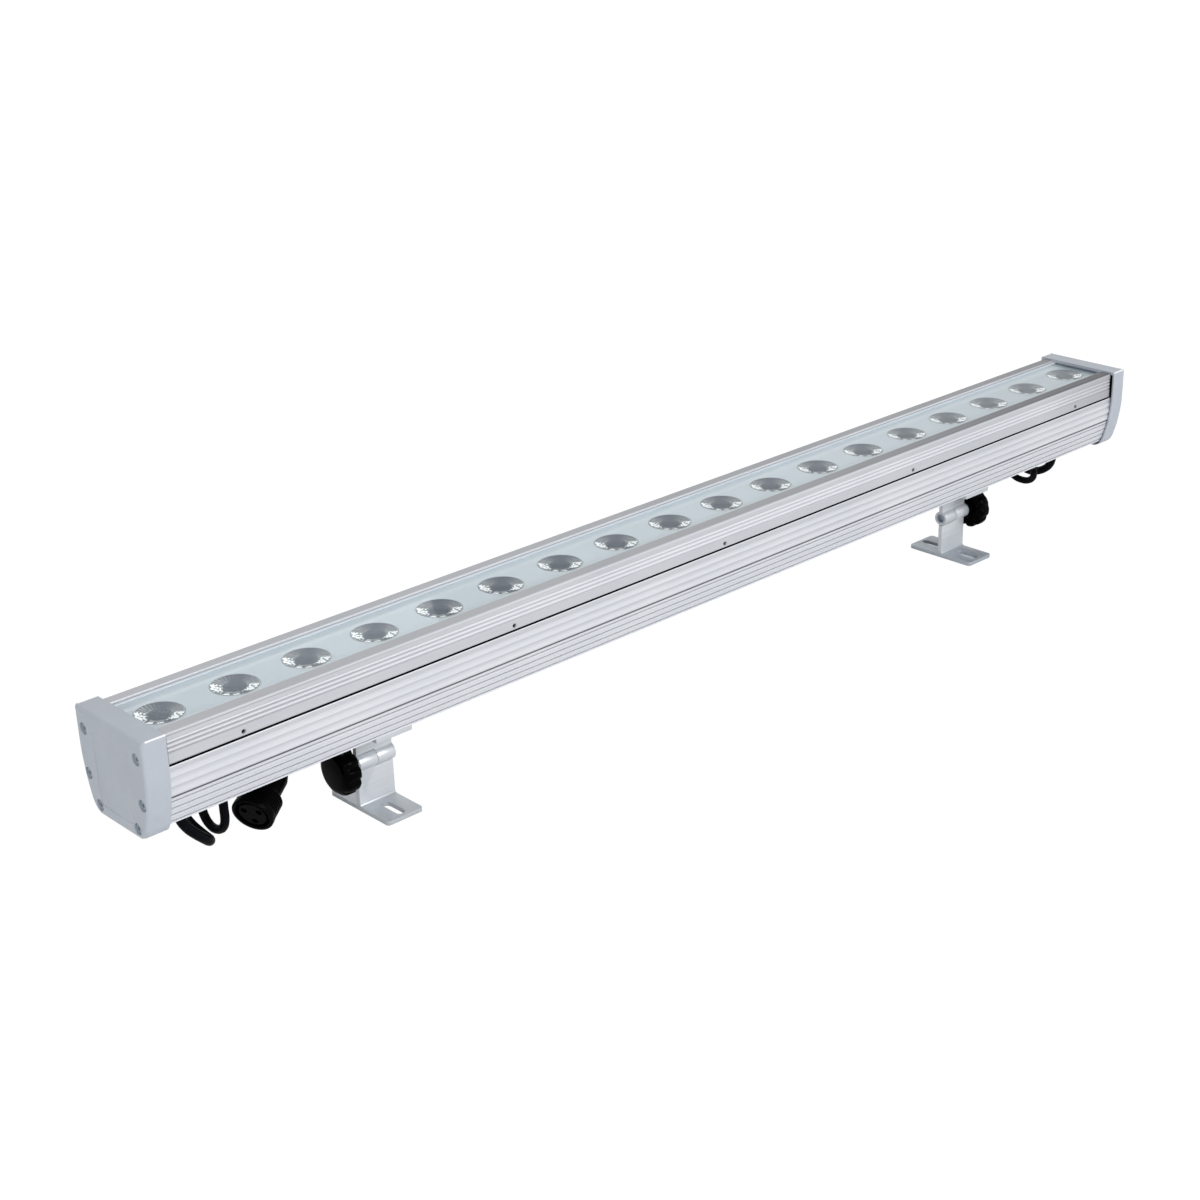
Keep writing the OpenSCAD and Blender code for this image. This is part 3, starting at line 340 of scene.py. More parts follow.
def stretched(group, stretch):
    coords = group.nodes.new("ShaderNodeTexCoord")
    mapping = group.nodes.new("ShaderNodeMapping")
    mapping.inputs["Scale"].default_value = stretch
    group.links.new(coords.outputs["Object"], mapping.inputs["Vector"])
    return mapping.outputs["Vector"]


streaks, entry, leave = new_group(
    "streaks_along_bar", [("Fineness", 1400.0)], ["Streaks", "Clouds"]
)
long_grain = stretched(streaks, (0.006, 1, 1))
grain = noise(streaks, long_grain, entry.outputs["Fineness"], 4)
clouds = noise(streaks, stretched(streaks, (1, 2, 2)), 9.0, 2)
feed(streaks, leave.inputs["Streaks"], ranged(streaks, grain, 0.3, 0.7))
feed(streaks, leave.inputs["Clouds"], ranged(streaks, clouds, 0.35, 0.65))
print("group:", streaks.name)

# %% Node group: fine pebble and dust
pebble, entry, leave = new_group(
    "fine_pebble", [("Fineness", 1800.0)], ["Pebble", "Dust"]
)
even = stretched(pebble, (1, 1, 1))
grain = noise(pebble, even, entry.outputs["Fineness"], 2)
dust = noise(pebble, even, 38.0, 6, 0.7)
feed(pebble, leave.inputs["Pebble"], ranged(pebble, grain, 0.3, 0.7))
feed(pebble, leave.inputs["Dust"], ranged(pebble, dust, 0.5, 0.72))
print("group:", pebble.name)


# %% A finish made from two colours and a group
def srgb(*levels):
    """Colour as read off a picture, 0 to 255, turned into the light value Blender mixes."""
    return tuple(
        v / 12.92 if v <= 0.04045 else ((v + 0.055) / 1.055) ** 2.4
        for v in (level / 255 for level in levels)
    )


def mixed_colour(tree, share, first, second):
    """The first colour where the share is 0, the second where it is 1. Each is given as
    read off a picture, or is the output of another node."""
    mix = tree.nodes.new("ShaderNodeMix")
    mix.data_type = "RGBA"
    feed(tree, mix.inputs[0], share)
    for socket, colour in ((mix.inputs[6], first), (mix.inputs[7], second)):
        feed(tree, socket, (*srgb(*colour), 1) if isinstance(colour, tuple) else colour)
    return mix.outputs[2]


def finish(name, group, fineness, dark, light, rough, bump, metallic=0.0, coat=0.0,
           mask="Streaks", wash="Clouds", specular=0.5):
    material = bpy.data.materials.new(name)
    material.use_nodes = True
    tree = material.node_tree
    shader = tree.nodes["Principled BSDF"]
    effect = tree.nodes.new("ShaderNodeGroup")
    effect.node_tree = group
    effect.inputs["Fineness"].default_value = fineness
    # The lightness is half from the mask and half from the wash.
    washed = calculated(tree, "MULTIPLY", effect.outputs[wash], 0.5)
    share = calculated(tree, "MULTIPLY_ADD", effect.outputs[mask], 0.5, washed)
    feed(tree, shader.inputs["Base Color"], mixed_colour(tree, share, dark, light))
    gloss = ranged(tree, effect.outputs[mask], low=rough[0], high=rough[1])
    feed(tree, shader.inputs["Roughness"], gloss)
    relief = tree.nodes.new("ShaderNodeBump")
    relief.inputs["Strength"].default_value = bump[0]
    relief.inputs["Distance"].default_value = bump[1]
    tree.links.new(effect.outputs[mask], relief.inputs["Height"])
    tree.links.new(relief.outputs["Normal"], shader.inputs["Normal"])
    shader.inputs["Metallic"].default_value = metallic
    shader.inputs["Coat Weight"].default_value = coat
    shader.inputs["Specular IOR Level"].default_value = specular
    return material


# %% The finishes of this bar
extruded = finish("extruded_aluminium", streaks, 1400, (184, 187, 191), (208, 210, 214),
                  (0.34, 0.46), (0.12, 0.0002), metallic=0.55)
extruded_rail = finish("extruded_rail", streaks, 1800, (180, 184, 190), (204, 207, 213),
                       (0.3, 0.42), (0.1, 0.0002), metallic=0.6)
foot_metal = finish("foot_aluminium", streaks, 900, (196, 201, 206), (216, 220, 225),
                    (0.34, 0.46), (0.12, 0.0002), metallic=0.4)
# A second copy of the foot finish for the right foot, with its own darker painted shade on the
# plate.
shaded_right_foot_metal = finish("right_foot_aluminium_painted_shade", streaks, 900, (196, 201, 206),
                          (216, 220, 225), (0.34, 0.46), (0.12, 0.0002), metallic=0.4)
cast_paint = finish("cast_paint", pebble, 1500, (180, 187, 197), (192, 198, 207),
                    (0.4, 0.52), (0.15, 0.0002), mask="Pebble", wash="Dust", coat=0.1)


def attribute(tree, name):
    """A value that the mesh itself keeps, for each of its points or faces."""
    node = tree.nodes.new("ShaderNodeAttribute")
    node.attribute_name = name
    return node.outputs["Fac"]


def paint_edge_highlight(material, colour):
    """Where the mesh's attribute is 1, a painted highlight turns the paint paler."""
    tree = material.node_tree
    base = tree.nodes["Principled BSDF"].inputs["Base Color"]
    painted = base.links[0].from_socket
    feed(tree, base, mixed_colour(tree, attribute(tree, "edge_highlight"), painted, colour))


# Painted highlight: the caps' top corners turn nearly white.
paint_edge_highlight(cast_paint, (246, 248, 252))
black_plastic = finish("black_plastic", pebble, 2200, (2, 2, 3), (5, 5, 6),
                       (0.26, 0.36), (0.2, 0.0002), mask="Pebble", wash="Dust", specular=0.03)
black_rubber = finish("black_rubber", pebble, 1500, (9, 10, 14), (15, 17, 22),
                      (0.3, 0.4), (0.2, 0.0002), mask="Pebble", wash="Dust", specular=0.035)
seal_rubber = finish("seal_rubber", pebble, 1500, (3, 3, 3), (6, 6, 6),
                     (0.6, 0.75), (0.2, 0.0002), mask="Pebble", wash="Dust", specular=0.03)
dark_screw = finish("dark_screw", streaks, 2500, (14, 12, 11), (26, 23, 21),
                    (0.4, 0.5), (0.1, 0.0001), specular=0.2)
screw_steel = finish("screw_steel", streaks, 2500, (150, 160, 170), (176, 185, 193),
                     (0.3, 0.42), (0.1, 0.0001), metallic=0.5)
brass = finish("brass", streaks, 2500, (176, 142, 78), (206, 172, 104),
               (0.25, 0.4), (0.1, 0.0001), metallic=0.9)
silicone = finish("silicone_gasket", pebble, 900, (226, 233, 240), (234, 240, 246),
                  (0.5, 0.65), (0.1, 0.0002), mask="Pebble", wash="Dust")
tray_white = finish("tray_plastic", pebble, 1200, (207, 216, 223), (216, 224, 230),
                    (0.35, 0.5), (0.1, 0.0002), mask="Pebble", wash="Dust")


def paint_light_by_axis(material, axis, start, end, colour):
    """Paints light or shade into a finish: turns its colour towards another one along an axis,
    0 to 2 for X to Z, from one distance to another, both in metres and counted on both sides of
    zero."""
    tree = material.node_tree
    base = tree.nodes["Principled BSDF"].inputs["Base Color"]
    before = base.links[0].from_socket
    place = tree.nodes.new("ShaderNodeTexCoord")
    parts = tree.nodes.new("ShaderNodeSeparateXYZ")
    feed(tree, parts.inputs[0], place.outputs["Object"])
    distance = calculated(tree, "ABSOLUTE", parts.outputs[axis])
    share = ranged(tree, distance, start, end)
    feed(tree, base, mixed_colour(tree, share, before, colour))


# Painted shade: the tray turns darker towards both ends of the bar.
paint_light_by_axis(tray_white, 0, 0.15, 0.45, (188, 197, 205))
# Painted light: the tray turns paler close to its side walls, against the shade there.
paint_light_by_axis(tray_white, 1, 0.013, 0.026, (244, 249, 253))
# Painted shade: low down, where the plates of the feet face up, the colour turns darker, on the
# right foot more so.
paint_light_by_axis(foot_metal, 2, 0.006, 0.003, (190, 195, 200))
paint_light_by_axis(shaded_right_foot_metal, 2, 0.006, 0.003, (175, 182, 190))
board_white = finish("board_white", pebble, 1500, (222, 224, 222), (234, 236, 234),
                     (0.4, 0.55), (0.1, 0.0001), mask="Pebble", wash="Dust")
board_green = finish("board_green", pebble, 1500, (28, 84, 52), (40, 104, 66),
                     (0.35, 0.5), (0.15, 0.0001), mask="Pebble", wash="Dust")
led_yellow = finish("led_yellow", pebble, 2500, (226, 204, 110), (240, 222, 140),
                    (0.3, 0.4), (0.1, 0.0001), mask="Pebble", wash="Dust")
component = finish("component", pebble, 1500, (34, 36, 58), (52, 54, 78),
                   (0.4, 0.55), (0.15, 0.0001), mask="Pebble", wash="Dust")
print("finishes made")


# %% Finishes of the extrusions and of the lens facets
def painted_light_finish(name, groove, dark, light, rough, fineness, metallic):
    """Aluminium with painted light: the tone of each point sets how pale it is, from painted shade
    in the grooves to painted highlights on the crests.
    """
    material = finish(name, streaks, fineness, dark, light, rough, (0.1, 0.0001), metallic)
    tree = material.node_tree
    base = tree.nodes["Principled BSDF"].inputs["Base Color"]
    pale = base.links[0].from_socket
    feed(tree, base, mixed_colour(tree, attribute(tree, "tone"), groove, pale))
    return material


sink_metal = painted_light_finish("sink_aluminium", (52, 58, 68), (224, 227, 234),
                            (236, 238, 243), (0.34, 0.44), 1400, 0.3)
rail_metal = painted_light_finish("rail_aluminium", (60, 62, 68), (222, 225, 232),
                            (234, 236, 241), (0.34, 0.44), 1800, 0.3)
black_gloss = finish("black_gloss", pebble, 2400, (1, 1, 1), (3, 3, 3), (0.08, 0.12),
                     (0.03, 0.0001), mask="Pebble", wash="Dust", specular=0.03)


def facet_finish(name, dark, light):
    material = bpy.data.materials.new(name)
    material.use_nodes = True
    tree = material.node_tree
    shader = tree.nodes["Principled BSDF"]
    facet = attribute(tree, "facet")
    feed(tree, shader.inputs["Base Color"], mixed_colour(tree, facet, dark, light))
    feed(tree, shader.inputs["Roughness"], ranged(tree, facet, low=0.25, high=0.1))
    shader.inputs["Specular IOR Level"].default_value = 0.02
    # The brightest facets give off a little light here, though the lens is no lamp: a painted
    # glint, since a real facet gathers light from the room and looks brighter than any white paint.
    feed(tree, shader.inputs["Emission Color"], calculated(tree, "POWER", facet, 4))
    shader.inputs["Emission Strength"].default_value = 0.35
    return material


# The lens facets mix from a dark slate to white by their painted light.
lens_facets = facet_finish("lens_facets", (42, 58, 78), (255, 255, 255))
print("finishes of the extrusions and lenses made")

# %% [markdown]
# ## Glass and lens plastic
# The glass is clear with a weak blue, and the model's own lenses are clear plastic. Both
# are a transmission shader with a little haze, and shadows pass through. The lenses that
# are modelled below take the opaque facet finish instead.


# %% Glass
def clear_material(name, colour, roughness, ior):
    material = bpy.data.materials.new(name)
    material.use_nodes = True
    tree = material.node_tree
    shader = tree.nodes["Principled BSDF"]
    shader.inputs["Base Color"].default_value = (*srgb(*colour), 1)
    shader.inputs["Transmission Weight"].default_value = 1
    shader.inputs["IOR"].default_value = ior
    smear = tree.nodes.new("ShaderNodeGroup")
    smear.node_tree = pebble
    smear.inputs["Fineness"].default_value = 300
    haze = ranged(tree, smear.outputs["Dust"], low=roughness, high=roughness + 0.04)
    feed(tree, shader.inputs["Roughness"], haze)
    path = tree.nodes.new("ShaderNodeLightPath")
    shadow, diffuse = path.outputs["Is Shadow Ray"], path.outputs["Is Diffuse Ray"]
    passing = tree.nodes.new("ShaderNodeBsdfTransparent")
    either = tree.nodes.new("ShaderNodeMixShader")
    feed(tree, either.inputs[0], calculated(tree, "MAXIMUM", shadow, diffuse))
    feed(tree, either.inputs[1], shader.outputs[0])
    feed(tree, either.inputs[2], passing.outputs[0])
    feed(tree, tree.nodes["Material Output"].inputs["Surface"], either.outputs[0])
    return material


glass = clear_material("cover_glass", (246, 252, 253), 0.0, 1.18)
lens_clear = clear_material("lens_clear", (240, 244, 246), 0.02, 1.49)
print("clear materials made")

# %% Give every node its finish
NODE_FINISH = {
    "heatsink": extruded, "front_rail": extruded_rail, "back_rail": extruded_rail,
    "front_rail_seal": seal_rubber, "back_rail_seal": seal_rubber,
    "front_rail_screws": dark_screw, "back_rail_screws": dark_screw,
    "glass_pane": glass, "glass_gasket": silicone, "lens_tray": tray_white,
    "left_lenses": lens_clear, "middle_lenses": lens_clear, "right_lenses": lens_clear,
    "left_led_board": board_white, "middle_led_board": board_white,
    "right_led_board": board_white, "left_led_chips": led_yellow,
    "middle_led_chips": led_yellow, "right_led_chips": led_yellow,
    "driver_board": board_green, "driver_tray": black_plastic,
    "driver_transformer": component, "driver_capacitors": component,
    "left_end_cap": cast_paint, "right_end_cap": cast_paint,
    "left_cap_seal": seal_rubber, "right_cap_seal": seal_rubber,
    "left_cap_screws": screw_steel, "right_cap_screws": screw_steel,
    "left_upper_bracket": foot_metal, "right_upper_bracket": foot_metal,
    "bracket_screws": screw_steel,
    "left_hinge_insert": screw_steel, "right_hinge_insert": screw_steel,
    "left_foot": foot_metal, "right_foot": shaded_right_foot_metal,
    "left_washer": screw_steel, "right_washer": screw_steel,
    "left_knob": black_plastic, "right_knob": black_plastic,
    "left_knob_stud": screw_steel, "right_knob_stud": screw_steel,
    "cord_glands": black_plastic, "cord_ties": black_plastic,
    "left_power_cord": black_rubber, "left_signal_cord": black_rubber,
    "right_signal_cord": black_rubber, "right_power_cord": black_rubber,
    "left_signal_socket": black_plastic, "left_signal_contacts": dark_screw,
    "left_power_socket": black_plastic, "left_power_contacts": brass,
    "right_signal_plug": black_plastic, "right_signal_pins": brass,
    "right_signal_nut": black_plastic, "right_power_plug": black_plastic,
    "right_power_pins": brass, "right_power_nut": black_plastic,
}


def dress_node(name, material):
    node = nodes[name]
    if node.material_slots:
        for place in node.material_slots:
            place.material = material
    else:
        node.data.materials.append(material)


for name, material in NODE_FINISH.items():
    dress_node(name, material)
print("nodes without a finish:", [n for n in nodes if n not in NODE_FINISH])

# %% [markdown]
# ## Shared ways of modelling
# The long pieces are extrusions, so each starts as a flat drawn outline that is filled,
# turned across the bar and extruded along it. The plates, brackets and plugs already
# have their shape in the model and only lack worn edges: each is a merged copy of its
# node with a small bevel. Turned pieces are half outlines, spun round their axis.


# %% Extrude a drawn outline along the bar
def drawn_face(name, outlines):
    """Fills closed outlines, given as (width, height) in millimetres, as a flat mesh."""
    drawing = bpy.data.curves.new(name, "CURVE")
    drawing.dimensions = "2D"
    drawing.fill_mode = "BOTH"
    for outline in outlines:
        spline = drawing.splines.new("POLY")
        spline.points.add(len(outline) - 1)
        for knot, (y, z) in zip(spline.points, outline):
            knot.co = (y / 1000, z / 1000, 0, 1)
        spline.use_cyclic_u = True
    piece = bpy.data.objects.new(name, drawing)
    bpy.context.scene.collection.objects.link(piece)
    make_active(piece)
    bpy.ops.object.convert(target="MESH")
    piece = bpy.context.object
    bpy.ops.object.mode_set(mode="EDIT")
    bpy.ops.mesh.select_all(action="SELECT")
    bpy.ops.mesh.remove_doubles(threshold=1e-6)
    bpy.ops.object.mode_set(mode="OBJECT")
    return piece


def extruded_along_bar(name, outlines, low, high, crease=35):
    piece = drawn_face(name, outlines)
    bpy.ops.object.mode_set(mode="EDIT")
    bpy.ops.mesh.select_all(action="SELECT")
    bpy.ops.mesh.extrude_region_move(
        TRANSFORM_OT_translate={"value": (0, 0, (high - low) / 1000)}
    )
    bpy.ops.mesh.select_all(action="SELECT")
    bpy.ops.mesh.normals_make_consistent(inside=False)
    bpy.ops.object.mode_set(mode="OBJECT")
    # width to Y, height to Z, depth to X
    piece.matrix_world = Matrix(
        ((0, 0, 1, low / 1000), (1, 0, 0, 0), (0, 1, 0, 0), (0, 0, 0, 1))
    )
    settle(piece)
    bpy.ops.object.shade_smooth_by_angle(angle=math.radians(crease))
    return piece


def mirrored(half):
    """Closes a half outline, listed from the bottom up, with its mirror image."""
    return half + [(-y, z) for y, z in reversed(half)]


def smooth_line(points, steps):
    """Smooth curve through points, with some steps between each two."""
    line = []
    for i in range(len(points) - 1):
        a, b = points[max(i - 1, 0)], points[i]
        c, d = points[i + 1], points[min(i + 2, len(points) - 1)]
        for k in range(steps):
            t = k / steps
            line.append(
                tuple(
                    (2 * q + (r - p) * t + (2 * p - 5 * q + 4 * r - s) * t * t
                     + (3 * q - 3 * r + s - p) * t**3) / 2
                    for p, q, r, s in zip(a, b, c, d)
                )
            )
    line.append(tuple(points[-1]))
    return line


print("extrusion helpers ready")


# %% Copy a node and round its edges
def rounded_copy(node_name, edge, steps=2, crease=32):
    piece = bpy.data.objects.new(node_name + "_worn", nodes[node_name].data.copy())
    bpy.context.scene.collection.objects.link(piece)
    make_active(piece)
    if piece.data.has_custom_normals:
        bpy.ops.mesh.customdata_custom_splitnormals_clear()
    bpy.ops.object.mode_set(mode="EDIT")
    bpy.ops.mesh.select_all(action="SELECT")
    bpy.ops.mesh.remove_doubles(threshold=1e-5)
    bpy.ops.mesh.dissolve_limited(angle_limit=math.radians(0.5))
    bpy.ops.object.mode_set(mode="OBJECT")
    if edge:
        bevel = piece.modifiers.new("worn_edges", "BEVEL")
        bevel.width = edge / 1000
        bevel.segments = steps
        bevel.limit_method = "ANGLE"
        bevel.angle_limit = math.radians(40)
        apply_modifiers(piece)
    bpy.ops.object.shade_smooth_by_angle(angle=math.radians(crease))
    return piece


# %% Spin a half outline round an axis
def spun(name, half, steps=64, crease=35):
    """Half outline as (radius, height) in millimetres, spun round Z at the origin."""
    mesh = bpy.data.meshes.new(name)
    mesh.from_pydata(
        [(r / 1000, 0, z / 1000) for r, z in half],
        [(i, i + 1) for i in range(len(half) - 1)],
        [],
    )
    piece = bpy.data.objects.new(name, mesh)
    bpy.context.scene.collection.objects.link(piece)
    make_active(piece)
    bpy.ops.object.mode_set(mode="EDIT")
    bpy.ops.mesh.select_all(action="SELECT")
    bpy.ops.mesh.spin(steps=steps, angle=2 * math.pi, center=(0, 0, 0), axis=(0, 0, 1))
    bpy.ops.mesh.select_all(action="SELECT")
    bpy.ops.mesh.remove_doubles(threshold=1e-6)
    bpy.ops.mesh.normals_make_consistent(inside=False)
    bpy.ops.object.mode_set(mode="OBJECT")
    bpy.ops.object.shade_smooth_by_angle(angle=math.radians(crease))
    return piece


# %% Join pieces, and cut one piece with others
def joined(pieces):
    """Makes one piece of several. It keeps the name of the first."""
    deselect_all()
    for piece in pieces:
        piece.select_set(True)
    bpy.context.view_layer.objects.active = pieces[0]
    bpy.ops.object.join()
    return pieces[0]


def cut_away(piece, cutters):
    for cutter in cutters:
        cut = piece.modifiers.new("cut", "BOOLEAN")
        cut.operation = "DIFFERENCE"
        cut.solver = "EXACT"
        cut.object = cutter
    apply_modifiers(piece)
    for cutter in cutters:
        bpy.data.objects.remove(cutter)
    return piece


print("shared ways of modelling ready")

# %% [markdown]
# ## Heatsink
# The body is one long extrusion. Seen from its side it has, from the top down, a flat
# band, three broad soft ribs, a dark groove and four fine fins. The outline is drawn with
# enough points for the ribs to shade as round, and each point keeps a tone of painted
# light, pale on the crests as a painted highlight and darker in the grooves as painted shade.

# %% Sizes of the body, in millimetres
BODY_HALF = 35.5
BASE_Z = 62.8
SINK_TOP = 104.8
WALL_HALF = 32.55
WALL_TOP = 121.4
CHAMBER_HALF = 27.15
SHELF_TOP = 103.2
BODY_END = 493.4
EDGE_SHARES = [
    (0, 0.75), (0.04, 0.79), (0.1, 0.828), (0.2, 0.866), (0.35, 0.92), (0.5, 0.955),
    (0.62, 0.98), (0.75, 1), (1, 1),
]
RIB_SHARES = [0.514, 0.664, 0.807, 0.92]
FIN_GROOVES = [0.06, 0.185, 0.305, 0.425]
RIDGE_SHARES = [0.33, 0.473, 0.62, 0.752]


def body_edge(share):
    """Half width of the body at a share of its height."""
    for (a, wa), (b, wb) in zip(EDGE_SHARES, EDGE_SHARES[1:]):
        if share <= b:
            return BODY_HALF * (wa + (wb - wa) * (share - a) / (b - a))
    return BODY_HALF


def soft_rib(low, high, wall, depth, sharp=1.0, tones=(0.68, 1.0), fall=0.78, steps=16):
    """Points of one rounded rib from its lower groove up. Its tone is painted light, highest at a
    share of its height below the upper groove: a painted reflection of the bright floor, which the
    real rib mirrors there."""
    rib = []
    for i in range(steps + 1):
        share = i / steps
        rise = math.sin(math.pi * share) ** sharp
        down = 1 - share
        glow = math.sin(math.pi / 2 * min(1, down / fall, (1 - down) / (1 - fall))) ** 1.5
        tone = tones[0] + (tones[1] - tones[0]) * glow
        rib.append((wall - depth + depth * rise, low + (high - low) * share, tone))
    return rib


# %% Draw the heatsink
def fin_groove(share, height):
    """A narrow slot between two fins, from its lower lip to its upper lip, with painted shade in it.
    """
    middle = BASE_Z + height * share
    edge = body_edge(share)
    return [(edge, middle - 0.42, 0.9), (edge - 0.12, middle - 0.3, 0.72),
            (edge - 0.6, middle - 0.12, 0.38), (edge - 0.6, middle + 0.12, 0.38),
            (edge - 0.12, middle + 0.3, 0.85), (edge, middle + 0.42, 1)]


def sink_outline():
    """Points from the bottom up as (width, height, tone). The tone is painted light: painted
    highlights on crests and edges, painted shade in the groove and the fin slots.
    """
    height = SINK_TOP - BASE_Z
    lip = body_edge(0)
    line = [(lip, BASE_Z, 0.4), (lip + 0.3, BASE_Z + 0.18, 0.45),
            (lip + 0.75, BASE_Z + 0.35, 1), (lip + 0.8, BASE_Z + 1.3, 1)]
    for share, above in zip(FIN_GROOVES, FIN_GROOVES[1:] + [0.484]):
        line += fin_groove(share, height)
        for part, tone in ((0.25, 1), (0.42, 0.97), (0.5, 0.86), (0.58, 0.97), (0.75, 1)):
            at = share + (above - share) * part
            line.append((body_edge(at), BASE_Z + height * at, tone))
    line.append((body_edge(0.484), BASE_Z + height * 0.484, 0.84))
    groove_y = body_edge(0.5) - 1.6
    line.append((groove_y, BASE_Z + height * 0.489, 0.05))
    line.append((groove_y, BASE_Z + height * 0.507, 0.05))
    for low, high in zip(RIB_SHARES, RIB_SHARES[1:]):
        line += soft_rib(BASE_Z + height * low, BASE_Z + height * high,
                         body_edge((low + high) / 2), 0.45)
    line.append((BODY_HALF, BASE_Z + height * RIB_SHARES[3] + 0.5, 0.74))
    line += [(BODY_HALF, SINK_TOP - 0.8, 0.74), (BODY_HALF, SINK_TOP - 0.35, 0.95),
             (BODY_HALF - 0.12, SINK_TOP - 0.12, 1), (BODY_HALF - 0.35, SINK_TOP, 0.9)]
    line += [(WALL_HALF, SINK_TOP, 0.4), (WALL_HALF, WALL_TOP, 0.5),
             (CHAMBER_HALF, WALL_TOP, 0.5), (CHAMBER_HALF, SHELF_TOP, 0.5)]
    return line


def tone_points(piece, line):
    """Writes the tone of the nearest outline point to each vertex, on both sides."""
    tone = piece.data.attributes.new("tone", "FLOAT", "POINT")
    for vertex, value in zip(piece.data.vertices, tone.data):
        y, z = abs(vertex.co.y) * 1000, vertex.co.z * 1000
        value.value = min((math.hypot(y - p[0], z - p[1]), p[2]) for p in line)[1]


sink_line = sink_outline()
chamber = mirrored([(21.18, 68), (27.15, 82.1), (27.15, 99.4)])
heatsink = extruded_along_bar(
    "heatsink_extrusion",
    [mirrored([p[:2] for p in sink_line]), chamber],
    -BODY_END, BODY_END,
)
tone_points(heatsink, sink_line)
finish_piece(heatsink, "lamp", sink_metal, "anodised", "heatsink")

# %% [markdown]
# ## Side rails
# Each rail wraps the edge of the glass. Its side has three small rounded ridges over a
# flat band, and its top is a plain flat band. Real extrusions have small radii on every
# corner, so the outline is drawn with them.

# %% Draw a rail
RAIL_BOTTOM = 106.4
RAIL_TOP = 127.2
RAIL_END = 481.7
RAIL_START = -482.6
RAIL_BEND = 2.3
# The tones round a rail's rounded top corner are a painted highlight.
BEND_TONES = [0.74, 0.78, 0.8, 0.62, 0.46, 0.45, 0.45]
# Painted light along the tops of the rails, back (1) and front (-1): a painted reflection that turns
# darker towards the right end.
TOP_TONES = {
    1: [(-0.48, 0.59), (-0.25, 0.56), (-0.1, 0.52), (0, 0.46), (0.1, 0.43),
        (0.25, 0.39), (0.38, 0.33), (0.49, 0.29)],
    -1: [(-0.48, 0.55), (-0.25, 0.53), (-0.1, 0.48), (0, 0.43), (0.1, 0.36),
         (0.25, 0.24), (0.38, 0.11), (0.49, 0.04)],
}


def corner(y, z, radius, start, turns=4):
    """Quarter circle round a corner whose centre is at (y, z)."""
    return [
        (y + radius * math.cos(math.radians(start + 90 * k / turns)),
         z + radius * math.sin(math.radians(start + 90 * k / turns)))
        for k in range(turns + 1)
    ]


def rail_outline():
    # The tones on a rail's side are painted light: painted highlights on the ridges and the inner
    # lip, painted shade between them.
    height = RAIL_TOP - RAIL_BOTTOM
    line = [(32.7, RAIL_BOTTOM, 0.5), (BODY_HALF - 0.3, RAIL_BOTTOM, 0.8),
            (BODY_HALF - 0.1, RAIL_BOTTOM + 0.1, 0.9), (BODY_HALF, RAIL_BOTTOM + 0.35, 0.85),
            (BODY_HALF, RAIL_BOTTOM + 0.8, 0.73),
            (BODY_HALF, RAIL_BOTTOM + height * RIDGE_SHARES[0] - 0.4, 0.73)]
    for low, high in zip(RIDGE_SHARES, RIDGE_SHARES[1:]):
        line += soft_rib(RAIL_BOTTOM + height * low, RAIL_BOTTOM + height * high,
                         BODY_HALF, 0.55, sharp=2.2, tones=(0.67, 1.0), fall=0.5)
    line.append((BODY_HALF, RAIL_BOTTOM + height * RIDGE_SHARES[3] + 0.4, 0.73))
    line.append((BODY_HALF, RAIL_TOP - 2.6, 0.73))
    bend = corner(BODY_HALF - RAIL_BEND, RAIL_TOP - RAIL_BEND, RAIL_BEND, 0, turns=6)
    line += [(y, z, tone) for (y, z), tone in zip(bend, BEND_TONES)]
    line += [(BODY_HALF - RAIL_BEND - 0.3, RAIL_TOP, 0.45), (26.2, RAIL_TOP, 0.45)]
    line += [(y, z, 0.9) for y, z in corner(25.4 + 0.35, RAIL_TOP - 0.35, 0.35, 90)]
    line += [(25.4, 126.0, 1), (25.4, 125.85, 0.4), (25.4, 125.4, 0.4), (32.7, 125.4, 0.4)]
    return line


def draw_rail(name, side):
    line = rail_outline()
    piece = extruded_along_bar(
        name, [[(side * y, z) for y, z, tone in line]], RAIL_START, RAIL_END
    )
    bpy.ops.object.mode_set(mode="EDIT")
    for x, tone in TOP_TONES[side][1:-1]:
        bpy.ops.mesh.select_all(action="SELECT")
        bpy.ops.mesh.bisect(plane_co=(x, 0, 0), plane_no=(1, 0, 0))
    bpy.ops.object.mode_set(mode="OBJECT")
    return piece


def tone_at(table, x):
    for (a, ta), (b, tb) in zip(table, table[1:]):
        if x <= b:
            return ta + (tb - ta) * max(0, (x - a) / (b - a))
    return table[-1][1]


def paint_light_along_rail(piece, table):
    """Paints light along a rail, darker towards its right end, as a painted reflection. Its top
    takes its tone from the table, its palest parts lose some towards the left end, and all of it
    loses some near the right end."""
    for vertex, tone in zip(piece.data.vertices, piece.data.attributes["tone"].data):
        if vertex.co.z * 1000 > RAIL_TOP - 0.6:
            if tone.value < 0.6:
                tone.value = tone_at(table, vertex.co.x)
        elif tone.value > 0.74:
            tone.value *= tone_at([(-0.48, 0.58), (-0.25, 0.88), (0, 1), (1, 1)], vertex.co.x)
        if vertex.co.x > 0.38:
            tone.value *= tone_at([(0.38, 1), (0.49, 0.72)], vertex.co.x)


